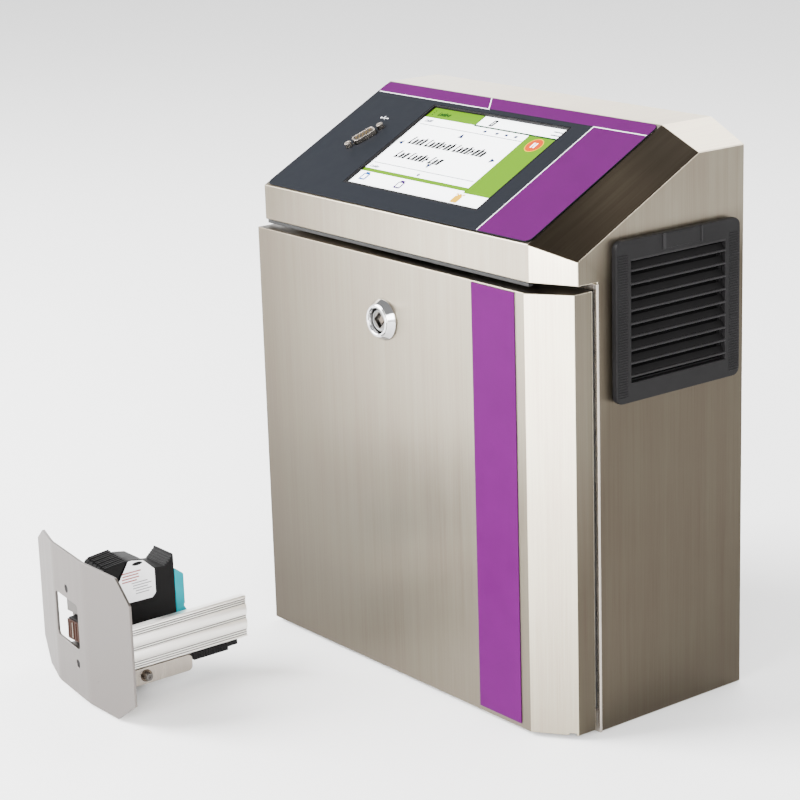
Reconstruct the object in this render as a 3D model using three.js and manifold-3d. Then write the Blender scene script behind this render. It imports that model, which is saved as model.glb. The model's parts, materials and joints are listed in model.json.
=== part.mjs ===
// Date code inkjet printer: a stainless cabinet with a sloped operator panel and a drop-down door,
// and a cartridge print head on a grooved rail that stands beside it.
// Millimetres. +X runs to the cabinet's right, +Y to its back, +Z up. The origin is the middle of
// the cabinet's underside.
import * as THREE from "three";
import { mergeVertices } from "three/addons/utils/BufferGeometryUtils.js";
import Module from "manifold-3d";

const wasm = await Module();
wasm.setup();

// Driving dimensions of the cabinet
const WIDTH = 314;
const DEPTH = 161;
const HEIGHT = 388;
const SHEET = 2; // stainless sheet of the housing
const DOOR_SHEET = 1.5;
const GAP = 0.3; // left between pieces that touch
const LEFT = -WIDTH / 2;
const RIGHT = WIDTH / 2;
const FRONT = -DEPTH / 2; // front face of the hood
const BACK = DEPTH / 2;
const PANEL_FOOT = 327.7; // the operator panel starts at this height
const PANEL_RUN = 116; // and reaches this far back
const HOOD_FOOT = 303; // underside of the hood above the door
const CORNER_WIDTH = 29.8; // the chamfered right corner, across the front
const CORNER_DEPTH = 14.7; // and into the depth
const SIDE_START = 31; // below the hood the sides start this far behind its front

// Door, a tray that stands proud of the hood
const DOOR_PROUD = 7;
const DOOR_TOP = 298.5;
const DOOR_BOTTOM = 2.5;
const DOOR_RETURN = 26.6; // the door's sides reach this far behind the hood's front
const DOOR_CORNER_WIDTH = 26.5;
const DOOR_CORNER_DEPTH = 18.5;
const DOOR_FACE = FRONT - DOOR_PROUD;
const DOOR_INSIDE = DOOR_FACE + DOOR_SHEET;
const PIVOT_Y = FRONT - 2; // hinge axis of the door
const PIVOT_Z = 9;
const PIVOT_X = 112; // middle of each hinge, left and right
const PIN_RADIUS = 1.6;

// Quarter-turn lock
const LOCK_X = (LEFT + RIGHT - DOOR_CORNER_WIDTH) / 2;
const LOCK_Z = 256;
const LOCK_RADIUS = 14.3;
const LOCK_SHANK = 10.3;
const CAM_REACH = 40;

// Operator panel, in its own plane: u across, v up the slope, w out of it
const PANEL_ANGLE = Math.atan2(HEIGHT - PANEL_FOOT, PANEL_RUN);
const OVERLAY = { u0: -155, u1: 126.6, v0: 1.5, v1: 129.2 };
const OVERLAY_THICKNESS = 0.7;
const SCREEN = { u0: -85.2, u1: 58.5, v0: 18.8, v1: 113.2 };
const CONNECTOR = { u: -113.5, v: 66.5, turn: (-20 * Math.PI) / 180, screws: 13.1 };

// Filter fan in the right side
const VENT_SIZE = 106;
const VENT_HALF = VENT_SIZE / 2;
const VENT_WIDER = 2; // the cover, its frame and the mat are wider than high by this much a side
const VENT_Y = FRONT + 41 + VENT_HALF + VENT_WIDER;
const VENT_Z = 222 + VENT_SIZE / 2;
const VENT_CUT = 85; // square hole in the side
const LOUVRE = 80; // open square behind the slats
const FAN_SIZE = 80;
const FAN_DEPTH = 25;

// Print head, standing left of the cabinet and in front of it
const HEAD = { x: -110, y: FRONT - 197 }; // the face plate's right bend, at its front face
const PLATE = 2;
const PLATE_HEIGHT = 104;
const CENTRE_WIDTH = 52.5;
const CENTRE_BEND = (8 * Math.PI) / 180;
const LEFT_WING = 45;
const LEFT_BEND = (18 * Math.PI) / 180;
const RIGHT_WING = 59;
const BEND_LENGTH = 7; // each bend is an arc of this length
const PLATE_FOOT = 1.4; // the plate hangs this far above the surface that the head stands on
const CARTRIDGE = { x0: -35, x1: -10.5, y0: 14, y1: 80.3, z0: 27 };
const RAIL = { x0: 8.5, x1: 15, y0: 3.5, y1: 122, z0: 22.5, z1: 53.3 };
const LATCH_AXIS = { y: 22, z: 80 };

// ---------------------------------------------------------------- materials
function finish(color, roughness, metalness) {
  return new THREE.MeshStandardMaterial({ color, roughness, metalness });
}
const steel = finish(0xb9b0a4, 0.35, 1);
const brightSteel = finish(0xd6d3cf, 0.25, 1);
const chrome = finish(0xe6e6e6, 0.08, 1);
const zinc = finish(0xa9abad, 0.4, 1);
const aluminium = finish(0xd8d8d4, 0.4, 1);
const slate = finish(0x4d525c, 0.5, 0);
const purple = finish(0x9646a0, 0.5, 0);
const blackPlastic = finish(0x2b2a2b, 0.55, 0);
const blackRubber = finish(0x1b1b1b, 0.85, 0);
const screenGlass = finish(0xd8ead0, 0.15, 0);
const copper = finish(0x8a4a20, 0.4, 0.6);
const teal = finish(0x1e969b, 0.45, 0);
const boardGreen = finish(0x1f5f3a, 0.5, 0);
const fibre = finish(0xc9c9c2, 0.95, 0);
const terminalGrey = finish(0xa6a79f, 0.6, 0);

// ---------------------------------------------------------------- solids
function solidOf(geometry) {
  const bare = new THREE.BufferGeometry();
  bare.setAttribute("position", geometry.getAttribute("position"));
  if (geometry.index) bare.setIndex(geometry.index);
  const merged = mergeVertices(bare, 1e-4);
  return new wasm.Manifold(
    new wasm.Mesh({
      numProp: 3,
      vertProperties: new Float32Array(merged.attributes.position.array),
      triVerts: new Uint32Array(merged.index.array),
    }),
  );
}

function geometryOf(solid) {
  const mesh = solid.getMesh();
  const geometry = new THREE.BufferGeometry();
  geometry.setAttribute("position", new THREE.BufferAttribute(mesh.vertProperties, 3));
  geometry.setIndex(new THREE.BufferAttribute(mesh.triVerts, 1));
  geometry.computeVertexNormals();
  return geometry;
}

function join(first, ...others) {
  let solid = solidOf(first);
  for (const other of others) solid = solid.add(solidOf(other));
  return geometryOf(solid);
}

function cut(body, ...tools) {
  let solid = solidOf(body);
  for (const tool of tools) solid = solid.subtract(solidOf(tool));
  return geometryOf(solid);
}

// A block from its low corner to its high corner.
function block(x0, y0, z0, x1, y1, z1) {
  const geometry = new THREE.BoxGeometry(x1 - x0, y1 - y0, z1 - z0);
  return geometry.translate((x0 + x1) / 2, (y0 + y1) / 2, (z0 + z1) / 2);
}

// A straight outline through the points.
function outline(points) {
  return new THREE.Shape(points.map(([a, b]) => new THREE.Vector2(a, b)));
}

// A rectangle with round corners.
function roundedRectangle(a0, b0, a1, b1, radius) {
  const shape = new THREE.Shape();
  const quarter = Math.PI / 2;
  shape.moveTo(a0 + radius, b0);
  shape.lineTo(a1 - radius, b0);
  shape.absarc(a1 - radius, b0 + radius, radius, -quarter, 0, false);
  shape.lineTo(a1, b1 - radius);
  shape.absarc(a1 - radius, b1 - radius, radius, 0, quarter, false);
  shape.lineTo(a0 + radius, b1);
  shape.absarc(a0 + radius, b1 - radius, radius, quarter, Math.PI, false);
  shape.lineTo(a0, b0 + radius);
  shape.absarc(a0 + radius, b0 + radius, radius, Math.PI, Math.PI + quarter, false);
  return shape;
}

function circle(a, b, radius) {
  const shape = new THREE.Shape();
  shape.absarc(a, b, radius, 0, 2 * Math.PI, false);
  return shape;
}

function extruded(shape, depth, curveSegments) {
  return new THREE.ExtrudeGeometry(shape, { depth, bevelEnabled: false, curveSegments });
}

// An (x, y) outline raised from z0 to z1.
function prismZ(shape, z0, z1, curveSegments = 6) {
  return extruded(shape, z1 - z0, curveSegments).translate(0, 0, z0);
}

// A (y, z) outline swept from x0 to x1.
function prismX(shape, x0, x1, curveSegments = 6) {
  const turn = new THREE.Matrix4().makeBasis(
    new THREE.Vector3(0, 1, 0),
    new THREE.Vector3(0, 0, 1),
    new THREE.Vector3(1, 0, 0),
  );
  return extruded(shape, x1 - x0, curveSegments).applyMatrix4(turn).translate(x0, 0, 0);
}

// An (x, z) outline swept from y0 to y1.
function prismY(shape, y0, y1, curveSegments = 6) {
  return extruded(shape, y1 - y0, curveSegments).rotateX(Math.PI / 2).translate(0, y1, 0);
}

// A solid of revolution about a line along Y through (x, z): the profile is (radius, y) pairs.
function turnedY(x, z, profile, segments = 32) {
  const points = profile.map(([radius, y]) => new THREE.Vector2(radius, y));
  return new THREE.LatheGeometry(points, segments).translate(x, 0, z);
}

// A round bar along X.
function barX(x0, x1, y, z, radius, segments = 16) {
  return prismX(circle(y, z, radius), x0, x1, segments);
}

// The hull between two or more outlines of (y, z) points, each at its own x.
function loftX(sections) {
  const count = sections[0].points.length;
  const positions = sections.flatMap(({ x, points }) => points.flatMap(([y, z]) => [x, y, z]));
  const index = [];
  for (let s = 0; s + 1 < sections.length; s++) {
    for (let i = 0; i < count; i++) {
      const a = s * count + i;
      const b = s * count + ((i + 1) % count);
      index.push(a, b, b + count, a, b + count, a + count);
    }
  }
  const last = (sections.length - 1) * count;
  for (let i = 1; i + 1 < count; i++) {
    index.push(0, i + 1, i, last, last + i, last + i + 1);
  }
  const geometry = new THREE.BufferGeometry();
  geometry.setAttribute("position", new THREE.Float32BufferAttribute(positions, 3));
  geometry.setIndex(index);
  return geometry;
}

const printer = new THREE.Group();

function add(name, geometry, material, parent = printer) {
  const mesh = new THREE.Mesh(geometry, material);
  mesh.name = name;
  parent.add(mesh);
  return mesh;
}

// ---------------------------------------------------------------- cabinet
// The side outline, moved in from the front, the panel and the top by inset.
function sideOutline(inset, bottom, back) {
  const slope = Math.tan(PANEL_ANGLE);
  const lean = inset / Math.cos(PANEL_ANGLE);
  const frontY = FRONT + inset;
  return [
    [frontY, bottom],
    [back, bottom],
    [back, HEIGHT - inset],
    [FRONT + (HEIGHT - inset - PANEL_FOOT + lean) / slope, HEIGHT - inset],
    [frontY, PANEL_FOOT + inset * slope - lean],
  ];
}

// Where a corner chamfer of that width and depth starts, and how deep it is at the side,
// once every face has moved in by inset.
function chamferInside(width, depth, inset) {
  const length = Math.hypot(width, depth);
  const along = (inset * (length - width)) / depth;
  const start = width + (inset * depth) / length - (along * width) / length;
  const rest = width - inset + (inset * depth) / length;
  const sideDepth = (inset * width) / length + (rest * depth) / width;
  return { start, sideDepth };
}

function cabinetEnvelope(inset, bottom, back) {
  const { start, sideDepth } = chamferInside(CORNER_WIDTH, CORNER_DEPTH, inset);
  const full = sideOutline(inset, bottom, back);
  return loftX([
    { x: LEFT + inset, points: full },
    { x: RIGHT - start, points: full },
    { x: RIGHT - inset, points: sideOutline(inset ? sideDepth : CORNER_DEPTH, bottom, back) },
  ]);
}

// Turns a solid made in the panel's plane into the cabinet's frame.
function onPanel(geometry) {
  return geometry.rotateX(PANEL_ANGLE).translate(0, FRONT, PANEL_FOOT);
}

function panelBlock(area, grow, w0, w1) {
  return block(area.u0 - grow, area.v0 - grow, w0, area.u1 + grow, area.v1 + grow, w1);
}

const PORT_Y = FRONT + 124;
const PORTS = {
  inlet: { y: PORT_Y, z: 46, width: 27, height: 38 },
  power: { y: PORT_Y, z: 96, width: 20, height: 26 },
  head: { y: FRONT + 84, z: 50, width: 12, height: 40 },
};
const SOCKETS = [
  { name: "sensor_socket", z: 96 },
  { name: "encoder_socket", z: 120 },
];
const SOCKET_RADIUS = 7;

function portHole({ y, z, width, height }) {
  const [halfWidth, halfHeight] = [width / 2, height / 2];
  return block(
    LEFT - 1, y - halfWidth, z - halfHeight, LEFT + SHEET + 1, y + halfWidth, z + halfHeight,
  );
}

function housing() {
  const hoodFloor = block(
    LEFT, FRONT, HOOD_FOOT, RIGHT, FRONT + SIDE_START + SHEET, HOOD_FOOT + SHEET,
  );
  const hollow = cut(cabinetEnvelope(SHEET, SHEET, BACK + 10), hoodFloor);
  const doorway = block(LEFT - 1, FRONT - 1, -1, RIGHT + 1, FRONT + SIDE_START, HOOD_FOOT);
  const cutHalf = VENT_CUT / 2;
  const fanHole = block(
    RIGHT - SHEET - 1, VENT_Y - cutHalf - VENT_WIDER, VENT_Z - cutHalf,
    RIGHT + 1, VENT_Y + cutHalf + VENT_WIDER, VENT_Z + cutHalf,
  );
  const socketHoles = SOCKETS.map(({ z }) =>
    barX(LEFT - 1, LEFT + SHEET + 1, PORTS.head.y, z, SOCKET_RADIUS + GAP, 6));
  return cut(
    cabinetEnvelope(0, 0, BACK),
    hollow,
    doorway,
    onPanel(panelBlock(SCREEN, 3, -SHEET - 2, 2)),
    onPanel(connectorOutline(32, 13, -SHEET - 2, 2)),
    fanHole,
    ...Object.values(PORTS).map(portHole),
    ...socketHoles,
  );
}

function backPlate() {
  const inset = SHEET + GAP;
  const { start, sideDepth } = chamferInside(CORNER_WIDTH, CORNER_DEPTH, inset);
  const sheet = prismY(
    outline([
      [LEFT + inset, inset],
      [RIGHT - inset, inset],
      [RIGHT - inset, HEIGHT - sideDepth],
      [RIGHT - start, HEIGHT - inset],
      [LEFT + inset, HEIGHT - inset],
    ]),
    BACK - SHEET - GAP,
    BACK - GAP,
  );
  const slots = [];
  for (let row = 0; row < 8; row++) {
    const z = 290 + row * 9;
    slots.push(prismY(roundedRectangle(-60, z, 60, z + 4, 1.9), BACK - 10, BACK + 10, 3));
  }
  return cut(sheet, ...slots);
}

const FRAME_FRONT = FRONT + 28.7;

function doorFrame() {
  const proud = 2;
  const outer = block(
    LEFT - proud, FRAME_FRONT, 0.5, RIGHT + proud, FRAME_FRONT + 2, HOOD_FOOT - GAP,
  );
  return cut(outer, block(LEFT + 10, FRAME_FRONT - 5, 14, RIGHT - 10, FRAME_FRONT + 5, 290));
}

function doorGasket() {
  const y0 = FRONT + DOOR_RETURN + GAP;
  const outer = block(LEFT + 0.8, y0, 17, RIGHT - 0.8, FRAME_FRONT - GAP, 298);
  return cut(outer, block(LEFT + 7, y0 - 5, 10, RIGHT - 7, FRAME_FRONT + 5, 292));
}

add("housing", housing(), steel);
add("back_plate", backPlate(), steel);
add("door_frame", doorFrame(), brightSteel);
add("door_gasket", doorGasket(), blackRubber);

// ---------------------------------------------------------------- door
// The door seen from above, every wall moved in by inset, open to the back.
function doorPlan(inset, backY) {
  const { start, sideDepth } = chamferInside(DOOR_CORNER_WIDTH, DOOR_CORNER_DEPTH, inset);
  return outline([
    [LEFT + inset, DOOR_FACE + inset],
    [RIGHT - start, DOOR_FACE + inset],
    [RIGHT - inset, DOOR_FACE + (inset ? sideDepth : DOOR_CORNER_DEPTH)],
    [RIGHT - inset, backY],
    [LEFT + inset, backY],
  ]);
}

function hingeEar(side) {
  const x0 = side * PIVOT_X + 2;
  return block(x0, DOOR_INSIDE - 0.2, DOOR_BOTTOM + 1, x0 + 3, PIVOT_Y + 5, PIVOT_Z + 5);
}

function door() {
  const back = FRONT + DOOR_RETURN;
  const tray = cut(
    prismZ(doorPlan(0, back), DOOR_BOTTOM, DOOR_TOP),
    prismZ(doorPlan(DOOR_SHEET, back + 5), DOOR_BOTTOM + DOOR_SHEET, DOOR_TOP - DOOR_SHEET),
    block(
      LEFT + DOOR_SHEET, FRONT + 8, 0,
      RIGHT - DOOR_SHEET, back + 1, DOOR_BOTTOM + DOOR_SHEET + 0.01,
    ),
    turnedY(LOCK_X, LOCK_Z, [[0, DOOR_FACE - 2], [LOCK_SHANK + 0.5, DOOR_FACE - 2],
      [LOCK_SHANK + 0.5, DOOR_FACE + 5], [0, DOOR_FACE + 5]], 24),
  );
  const ears = join(tray, hingeEar(-1), hingeEar(1));
  const tools = [-1, 1].flatMap((side) => {
    const x = side * PIVOT_X;
    return [
      block(x - 4, DOOR_INSIDE, 0, x + 1, FRONT + 9, DOOR_BOTTOM + DOOR_SHEET + 0.01),
      barX(x, x + 8, PIVOT_Y, PIVOT_Z, PIN_RADIUS + 0.4, 12),
    ];
  });
  return cut(ears, ...tools);
}

const BRACKET_NOSE = 3.1;

function hingeBracket(side) {
  const x = side * PIVOT_X;
  const arm = new THREE.Shape();
  arm.moveTo(FRAME_FRONT - GAP, PIVOT_Z - BRACKET_NOSE);
  arm.lineTo(FRAME_FRONT - GAP, PIVOT_Z + BRACKET_NOSE);
  arm.lineTo(PIVOT_Y, PIVOT_Z + BRACKET_NOSE);
  arm.absarc(PIVOT_Y, PIVOT_Z, BRACKET_NOSE, Math.PI / 2, (3 * Math.PI) / 2, false);
  const foot = block(x - 9, FRAME_FRONT - GAP - 2, 2, x + 6, FRAME_FRONT - GAP, 14);
  return cut(
    join(prismX(arm, x - 3, x, 6), foot),
    barX(x - 5, x + 2, PIVOT_Y, PIVOT_Z, PIN_RADIUS + GAP, 12),
  );
}

function lockEscutcheon() {
  const face = DOOR_FACE - GAP;
  return turnedY(LOCK_X, LOCK_Z, [
    [8.2, face - 3.4],
    [9, face - 5.5],
    [11.2, face - 5.5],
    [LOCK_RADIUS, face - 1],
    [LOCK_RADIUS, face],
    [LOCK_SHANK, face],
    [LOCK_SHANK, FRONT + 9],
    [8.2, FRONT + 9],
    [8.2, face - 3.4],
  ]);
}

const NUT_RADIUS = 15;

function lockNut() {
  const corners = [0, 1, 2, 3, 4, 5].map((corner) => {
    const angle = (corner * Math.PI) / 3;
    return [LOCK_X + NUT_RADIUS * Math.cos(angle), LOCK_Z + NUT_RADIUS * Math.sin(angle)];
  });
  const hexagon = outline(corners);
  hexagon.holes.push(circle(LOCK_X, LOCK_Z, LOCK_SHANK + GAP));
  return prismY(hexagon, DOOR_INSIDE + GAP, DOOR_INSIDE + 5, 8);
}

const CAM_Y = FRONT + 32;

function lockInsert() {
  const front = DOOR_FACE - 3.8;
  const core = turnedY(LOCK_X, LOCK_Z, [
    [0, front],
    [7.6, front],
    [7.6, FRONT + 10],
    [5, FRONT + 11],
    [5, CAM_Y + 5],
    [0, CAM_Y + 5],
  ], 24);
  const keyway = block(-4, front - 1, -4, 4, front + 3, 4)
    .rotateY(Math.PI / 4)
    .translate(LOCK_X, 0, LOCK_Z);
  return cut(core, keyway);
}

function lockCam() {
  const bar = roundedRectangle(LOCK_X - CAM_REACH, LOCK_Z - 8, LOCK_X + 10, LOCK_Z + 8, 7.9);
  bar.holes.push(circle(LOCK_X, LOCK_Z, 5 + GAP));
  return prismY(bar, CAM_Y, CAM_Y + 3, 5);
}

add("door", door(), steel);
add("door_stripe", block(80, DOOR_FACE - GAP - 0.5, 6, 122, DOOR_FACE - GAP, DOOR_TOP - 1), purple);
for (const [side, word] of [[-1, "left"], [1, "right"]]) {
  const x = side * PIVOT_X;
  add("hinge_bracket_" + word, hingeBracket(side), zinc);
  add("hinge_pin_" + word, barX(x - 5, x + 7, PIVOT_Y, PIVOT_Z, PIN_RADIUS, 12), chrome);
}
add("lock_escutcheon", lockEscutcheon(), chrome);
add("lock_nut", lockNut(), zinc);
add("lock_insert", lockInsert(), zinc);
add("lock_cam", lockCam(), zinc);

// ---------------------------------------------------------------- operator panel
// A solid centred on the panel connector and turned with it.
function atConnector(geometry) {
  return geometry.rotateZ(CONNECTOR.turn).translate(CONNECTOR.u, CONNECTOR.v, 0);
}

function connectorOutline(length, width, w0, w1) {
  const half = [width / 2, length / 2];
  return atConnector(prismZ(roundedRectangle(-half[0], -half[1], half[0], half[1], 2), w0, w1, 3));
}

function jackHole(end, radius, w0, w1) {
  return atConnector(prismZ(circle(0, end * CONNECTOR.screws, radius), w0, w1, 12));
}

const SHELL = { length: 17, width: 8.5 };
const JACK_RADIUS = 2.4;

function panelOverlay() {
  const { u0, u1, v0, v1 } = OVERLAY;
  const top = GAP + OVERLAY_THICKNESS;
  return onPanel(cut(
    prismZ(roundedRectangle(u0, v0, u1, v1, 5), GAP, top),
    panelBlock(SCREEN, 0, -1, 2),
    connectorOutline(SHELL.length + 1, SHELL.width + 1, -1, 2),
    jackHole(-1, JACK_RADIUS + GAP, -1, 2),
    jackHole(1, JACK_RADIUS + GAP, -1, 2),
  ));
}

function displayFrame() {
  return onPanel(cut(
    join(panelBlock(SCREEN, -GAP, -4, 0.9), panelBlock(SCREEN, 2.5, -5, -2.3)),
    panelBlock(SCREEN, -1.8, -6, 2),
  ));
}

function dataConnector() {
  const { length, width } = SHELL;
  const inner = connectorOutline(length - 1.6, width - 1.6, 3.2, 6);
  return onPanel(cut(
    join(connectorOutline(length, width, -3, 4.2), connectorOutline(31, 12, -5, -2.4)),
    inner,
    jackHole(-1, 1.7, -6, 0),
    jackHole(1, 1.7, -6, 0),
  ));
}

function jackscrew(end) {
  return onPanel(cut(
    join(jackHole(end, JACK_RADIUS, -2, 4.4), jackHole(end, 1.4, -7, 0)),
    jackHole(end, 1.1, 2.5, 6),
  ));
}

add("panel_overlay", panelOverlay(), slate);
add("display_frame", displayFrame(), blackRubber);
add("touch_screen", onPanel(panelBlock(SCREEN, -2.1, -2, -0.6)), screenGlass);
add("display_module", onPanel(panelBlock(SCREEN, 1.5, -18, -5.3)), zinc);
add("data_connector", dataConnector(), brightSteel);
add("jackscrew_upper", jackscrew(1), brightSteel);
add("jackscrew_lower", jackscrew(-1), brightSteel);

// ---------------------------------------------------------------- filter fan
function ventOutline(half, radius, wider = VENT_WIDER) {
  const across = half + wider;
  return roundedRectangle(VENT_Y - across, VENT_Z - half, VENT_Y + across, VENT_Z + half, radius);
}

function ventRing(outerHalf, innerHalf, radius, x0, x1) {
  return cut(
    prismX(ventOutline(outerHalf, radius), x0, x1, 4),
    prismX(ventOutline(innerHalf, 1), x0 - 1, x1 + 1, 2),
  );
}

const VENT_COVER_X = RIGHT + 2.1;
const VENT_COVER_THICKNESS = 4.4;
const VENT_SKIN = 1.1; // left in front of the hinge knuckles
const VENT_HINGE = { x: RIGHT + 3.2, z: VENT_Z - VENT_HALF + 2, radius: 1.2, half: 4 };
const VENT_KNUCKLES = [
  { word: "front", y: VENT_Y - 34 },
  { word: "rear", y: VENT_Y + 34 },
];

// A round-nosed lug on the frame that holds the cover's hinge pin.
function ventKnuckle(y) {
  const { x, z, half } = VENT_HINGE;
  const nose = new THREE.Shape();
  nose.moveTo(RIGHT + GAP, z - 1.4);
  nose.lineTo(x, z - 1.9);
  nose.absarc(x, z, 1.9, -Math.PI / 2, Math.PI / 2, false);
  nose.lineTo(x, z + 3.4);
  nose.lineTo(RIGHT + GAP, z + 3.4);
  return prismY(nose, y - half + GAP, y + half - GAP, 5);
}

function ventPinBar(y, radius, half) {
  return prismY(circle(VENT_HINGE.x, VENT_HINGE.z, radius), y - half, y + half, 5);
}

function ventFrame() {
  const flange = ventRing(VENT_HALF - 4.5, VENT_CUT / 2 - 3, 5, RIGHT + GAP, RIGHT + 1.8);
  const spigot = ventRing(VENT_CUT / 2 - GAP, VENT_CUT / 2 - 3, 2, RIGHT - 11, RIGHT + 1);
  const knuckles = VENT_KNUCKLES.map(({ y }) =>
    cut(ventKnuckle(y), ventPinBar(y, VENT_HINGE.radius + GAP / 2, 8)));
  return join(flange, spigot, ...knuckles);
}

function ventCover() {
  const x0 = VENT_COVER_X;
  const x1 = x0 + VENT_COVER_THICKNESS;
  const half = LOUVRE / 2;
  const across = half + VENT_WIDER;
  const slats = [];
  const count = 10;
  const pitch = (LOUVRE + 2) / count;
  for (let row = 0; row < count; row++) {
    const z = VENT_Z - half - 1 + (row + 0.5) * pitch;
    const section = outline([
      [x0 + 0.2, z + 2.6], [x0 + 0.2, z + 1], [x1 - 0.6, z - 3], [x1 - 0.4, z - 1.6],
    ]);
    slats.push(prismY(section, VENT_Y - across - 1, VENT_Y + across + 1));
  }
  const border = cut(
    prismX(ventOutline(VENT_HALF, 6), x0, x1, 4),
    block(x0 - 1, VENT_Y - across, VENT_Z - half, x1 + 1, VENT_Y + across, VENT_Z + half),
  );
  const top = VENT_Z + VENT_HALF;
  const latch = block(x0 + 1, VENT_Y - 14.5, top - 10, x1 + 0.5, VENT_Y + 19.5, top - 1);
  const foot = VENT_Z - VENT_HALF;
  const { z: pinZ, half: reach, radius } = VENT_HINGE;
  const reliefs = VENT_KNUCKLES.flatMap(({ y }) => [
    block(x0 - 1, y - reach, foot - 1, x1 - VENT_SKIN, y + reach, pinZ + 4.1),
    ventPinBar(y, radius + GAP, 9.5),
  ]);
  return cut(join(border, latch, ...slats), ...reliefs);
}

function fanHousing() {
  const x1 = RIGHT - 11.5;
  const x0 = x1 - FAN_DEPTH;
  const half = FAN_SIZE / 2;
  const frame = cut(
    prismX(ventOutline(half, 4, 0), x0, x1, 3),
    barX(x0 - 1, x1 + 1, VENT_Y, VENT_Z, half - 2, 10),
    ...[-1, 1].flatMap((a) => [-1, 1].map((b) =>
      barX(x0 - 1, x1 + 1, VENT_Y + a * (half - 4.3), VENT_Z + b * (half - 4.3), 2.2, 3))),
  );
  const struts = [0, 1, 2].map((arm) =>
    block(x0, -2.5, 10, x0 + 3, 2.5, half - 1)
      .rotateX((arm * 2 * Math.PI) / 3)
      .translate(0, VENT_Y, VENT_Z));
  return join(frame, barX(x0, x0 + 3, VENT_Y, VENT_Z, 17, 8), ...struts);
}

function fanRotor() {
  const x1 = RIGHT - 12.5;
  const x0 = x1 - FAN_DEPTH + 5.5;
  const blades = [];
  for (let blade = 0; blade < 7; blade++) {
    const plate = block(-8, -1, 14, 8, 1, FAN_SIZE / 2 - 4)
      .rotateZ(0.7)
      .translate((x0 + x1) / 2, 0, 0)
      .rotateX((blade * 2 * Math.PI) / 7)
      .translate(0, VENT_Y, VENT_Z);
    blades.push(plate);
  }
  return join(barX(x0, x1, VENT_Y, VENT_Z, 17, 8), ...blades);
}

add("vent_frame", ventFrame(), blackPlastic);
add("vent_cover", ventCover(), blackPlastic);
for (const { word, y } of VENT_KNUCKLES) {
  add("vent_pin_" + word, ventPinBar(y, VENT_HINGE.radius, 9), zinc);
}
add("filter_mat", prismX(ventOutline(VENT_CUT / 2 - 3.3, 1), RIGHT - 9, RIGHT - 1, 2), fibre);
add("fan_housing", fanHousing(), blackPlastic);
add("fan_rotor", fanRotor(), blackPlastic);

// ---------------------------------------------------------------- inside the cabinet
const PLATE_Y = FRONT + 148; // front of the mounting plate

function mountingPlate() {
  const sheet = block(-140, PLATE_Y, 20, 112, PLATE_Y + 2, 284);
  const standoffs = [[2, 52], [93, 52], [2, 238], [93, 238]].map(([x, z]) =>
    prismY(circle(x, z, 3), PLATE_Y - 7.7, PLATE_Y + 1, 3));
  const feet = [[-130, 30], [100, 30], [-130, 274], [100, 274]].map(([x, z]) =>
    prismY(circle(x, z, 4), PLATE_Y + 1, BACK - SHEET - 2 * GAP, 3));
  return join(sheet, ...standoffs, ...feet);
}

function controllerBoard() {
  const y1 = PLATE_Y - 8;
  const board = block(-8, y1 - 1.6, 42, 103, y1, 248);
  const parts = [
    block(20, y1 - 12, 150, 60, y1 - 1, 190), // processor heat sink
    block(70, y1 - 13, 60, 98, y1 - 1, 120), // output terminals
    block(0, y1 - 10, 200, 40, y1 - 1, 240), // memory card cage
    block(-2, y1 - 20, 60, 12, y1 - 1, 130), // print head driver
    block(30, y1 - 9, 56, 58, y1 - 1, 84), // relay
  ];
  return join(board, ...parts);
}

function powerSupply() {
  const y0 = FRONT + 106;
  const y1 = PLATE_Y - GAP;
  const box = block(-128, y0, 34, -32, y1, 176);
  const terminals = block(-122, y0 + 6, 173, -38, y0 + 24, 186);
  return join(box, terminals);
}

function terminalStrip() {
  const y1 = PLATE_Y - GAP;
  const rail = block(-134, y1 - 7, 222, -26, y1, 257);
  const blocks = [];
  for (let place = 0; place < 9; place++) {
    const x = -126 + place * 10.5;
    blocks.push(block(x, y1 - 40, 218, x + 9.5, y1 - 6, 261));
  }
  return join(rail, ...blocks);
}

add("mounting_plate", mountingPlate(), zinc);
add("controller_board", controllerBoard(), boardGreen);
add("power_supply", powerSupply(), aluminium);
add("terminal_strip", terminalStrip(), terminalGrey);

// ---------------------------------------------------------------- sockets in the left side
// A rectangular part that fills its hole in the left side, with a flange outside.
function leftInsert(port, flangeWidth, flangeHeight, reach) {
  const { y, z, width, height } = port;
  const flange = roundedRectangle(
    y - flangeWidth / 2, z - flangeHeight / 2, y + flangeWidth / 2, z + flangeHeight / 2, 2,
  );
  const body = block(
    LEFT - 1, y - width / 2 + GAP, z - height / 2 + GAP,
    LEFT + reach, y + width / 2 - GAP, z + height / 2 - GAP,
  );
  return join(prismX(flange, LEFT - 2.5, LEFT - GAP, 2), body);
}

function powerInlet() {
  const { y, z } = PORTS.inlet;
  const recess = block(LEFT - 5, y - 8, z - 12, LEFT + 13, y + 8, z + 12);
  return cut(leftInsert(PORTS.inlet, 34, 48, 18), recess);
}

function switchFrame() {
  const { y, z } = PORTS.power;
  const recess = block(LEFT - 5, y - 7.5, z - 10.5, LEFT + 9, y + 7.5, z + 10.5);
  const sockets = prismY(circle(ROCKER_X, z, 1.6), y - 8.7, y + 8.7, 4);
  return cut(leftInsert(PORTS.power, 24, 31, 16), recess, sockets);
}

const ROCKER_X = LEFT + 1.5; // axis of the rocker, along Y

function switchRocker() {
  const { y, z } = PORTS.power;
  const section = outline(
    [[-6.4, -7.9], [2, -9.6], [5.5, -3], [5.5, 3], [2, 9.6], [-2.2, 9.9], [-3.6, 0]]
      .map(([a, b]) => [ROCKER_X + a, z + b]),
  );
  return join(
    prismY(section, y - 7, y + 7),
    prismY(circle(ROCKER_X, z, 1.2), y - 8.3, y + 8.3, 4),
  );
}

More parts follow.
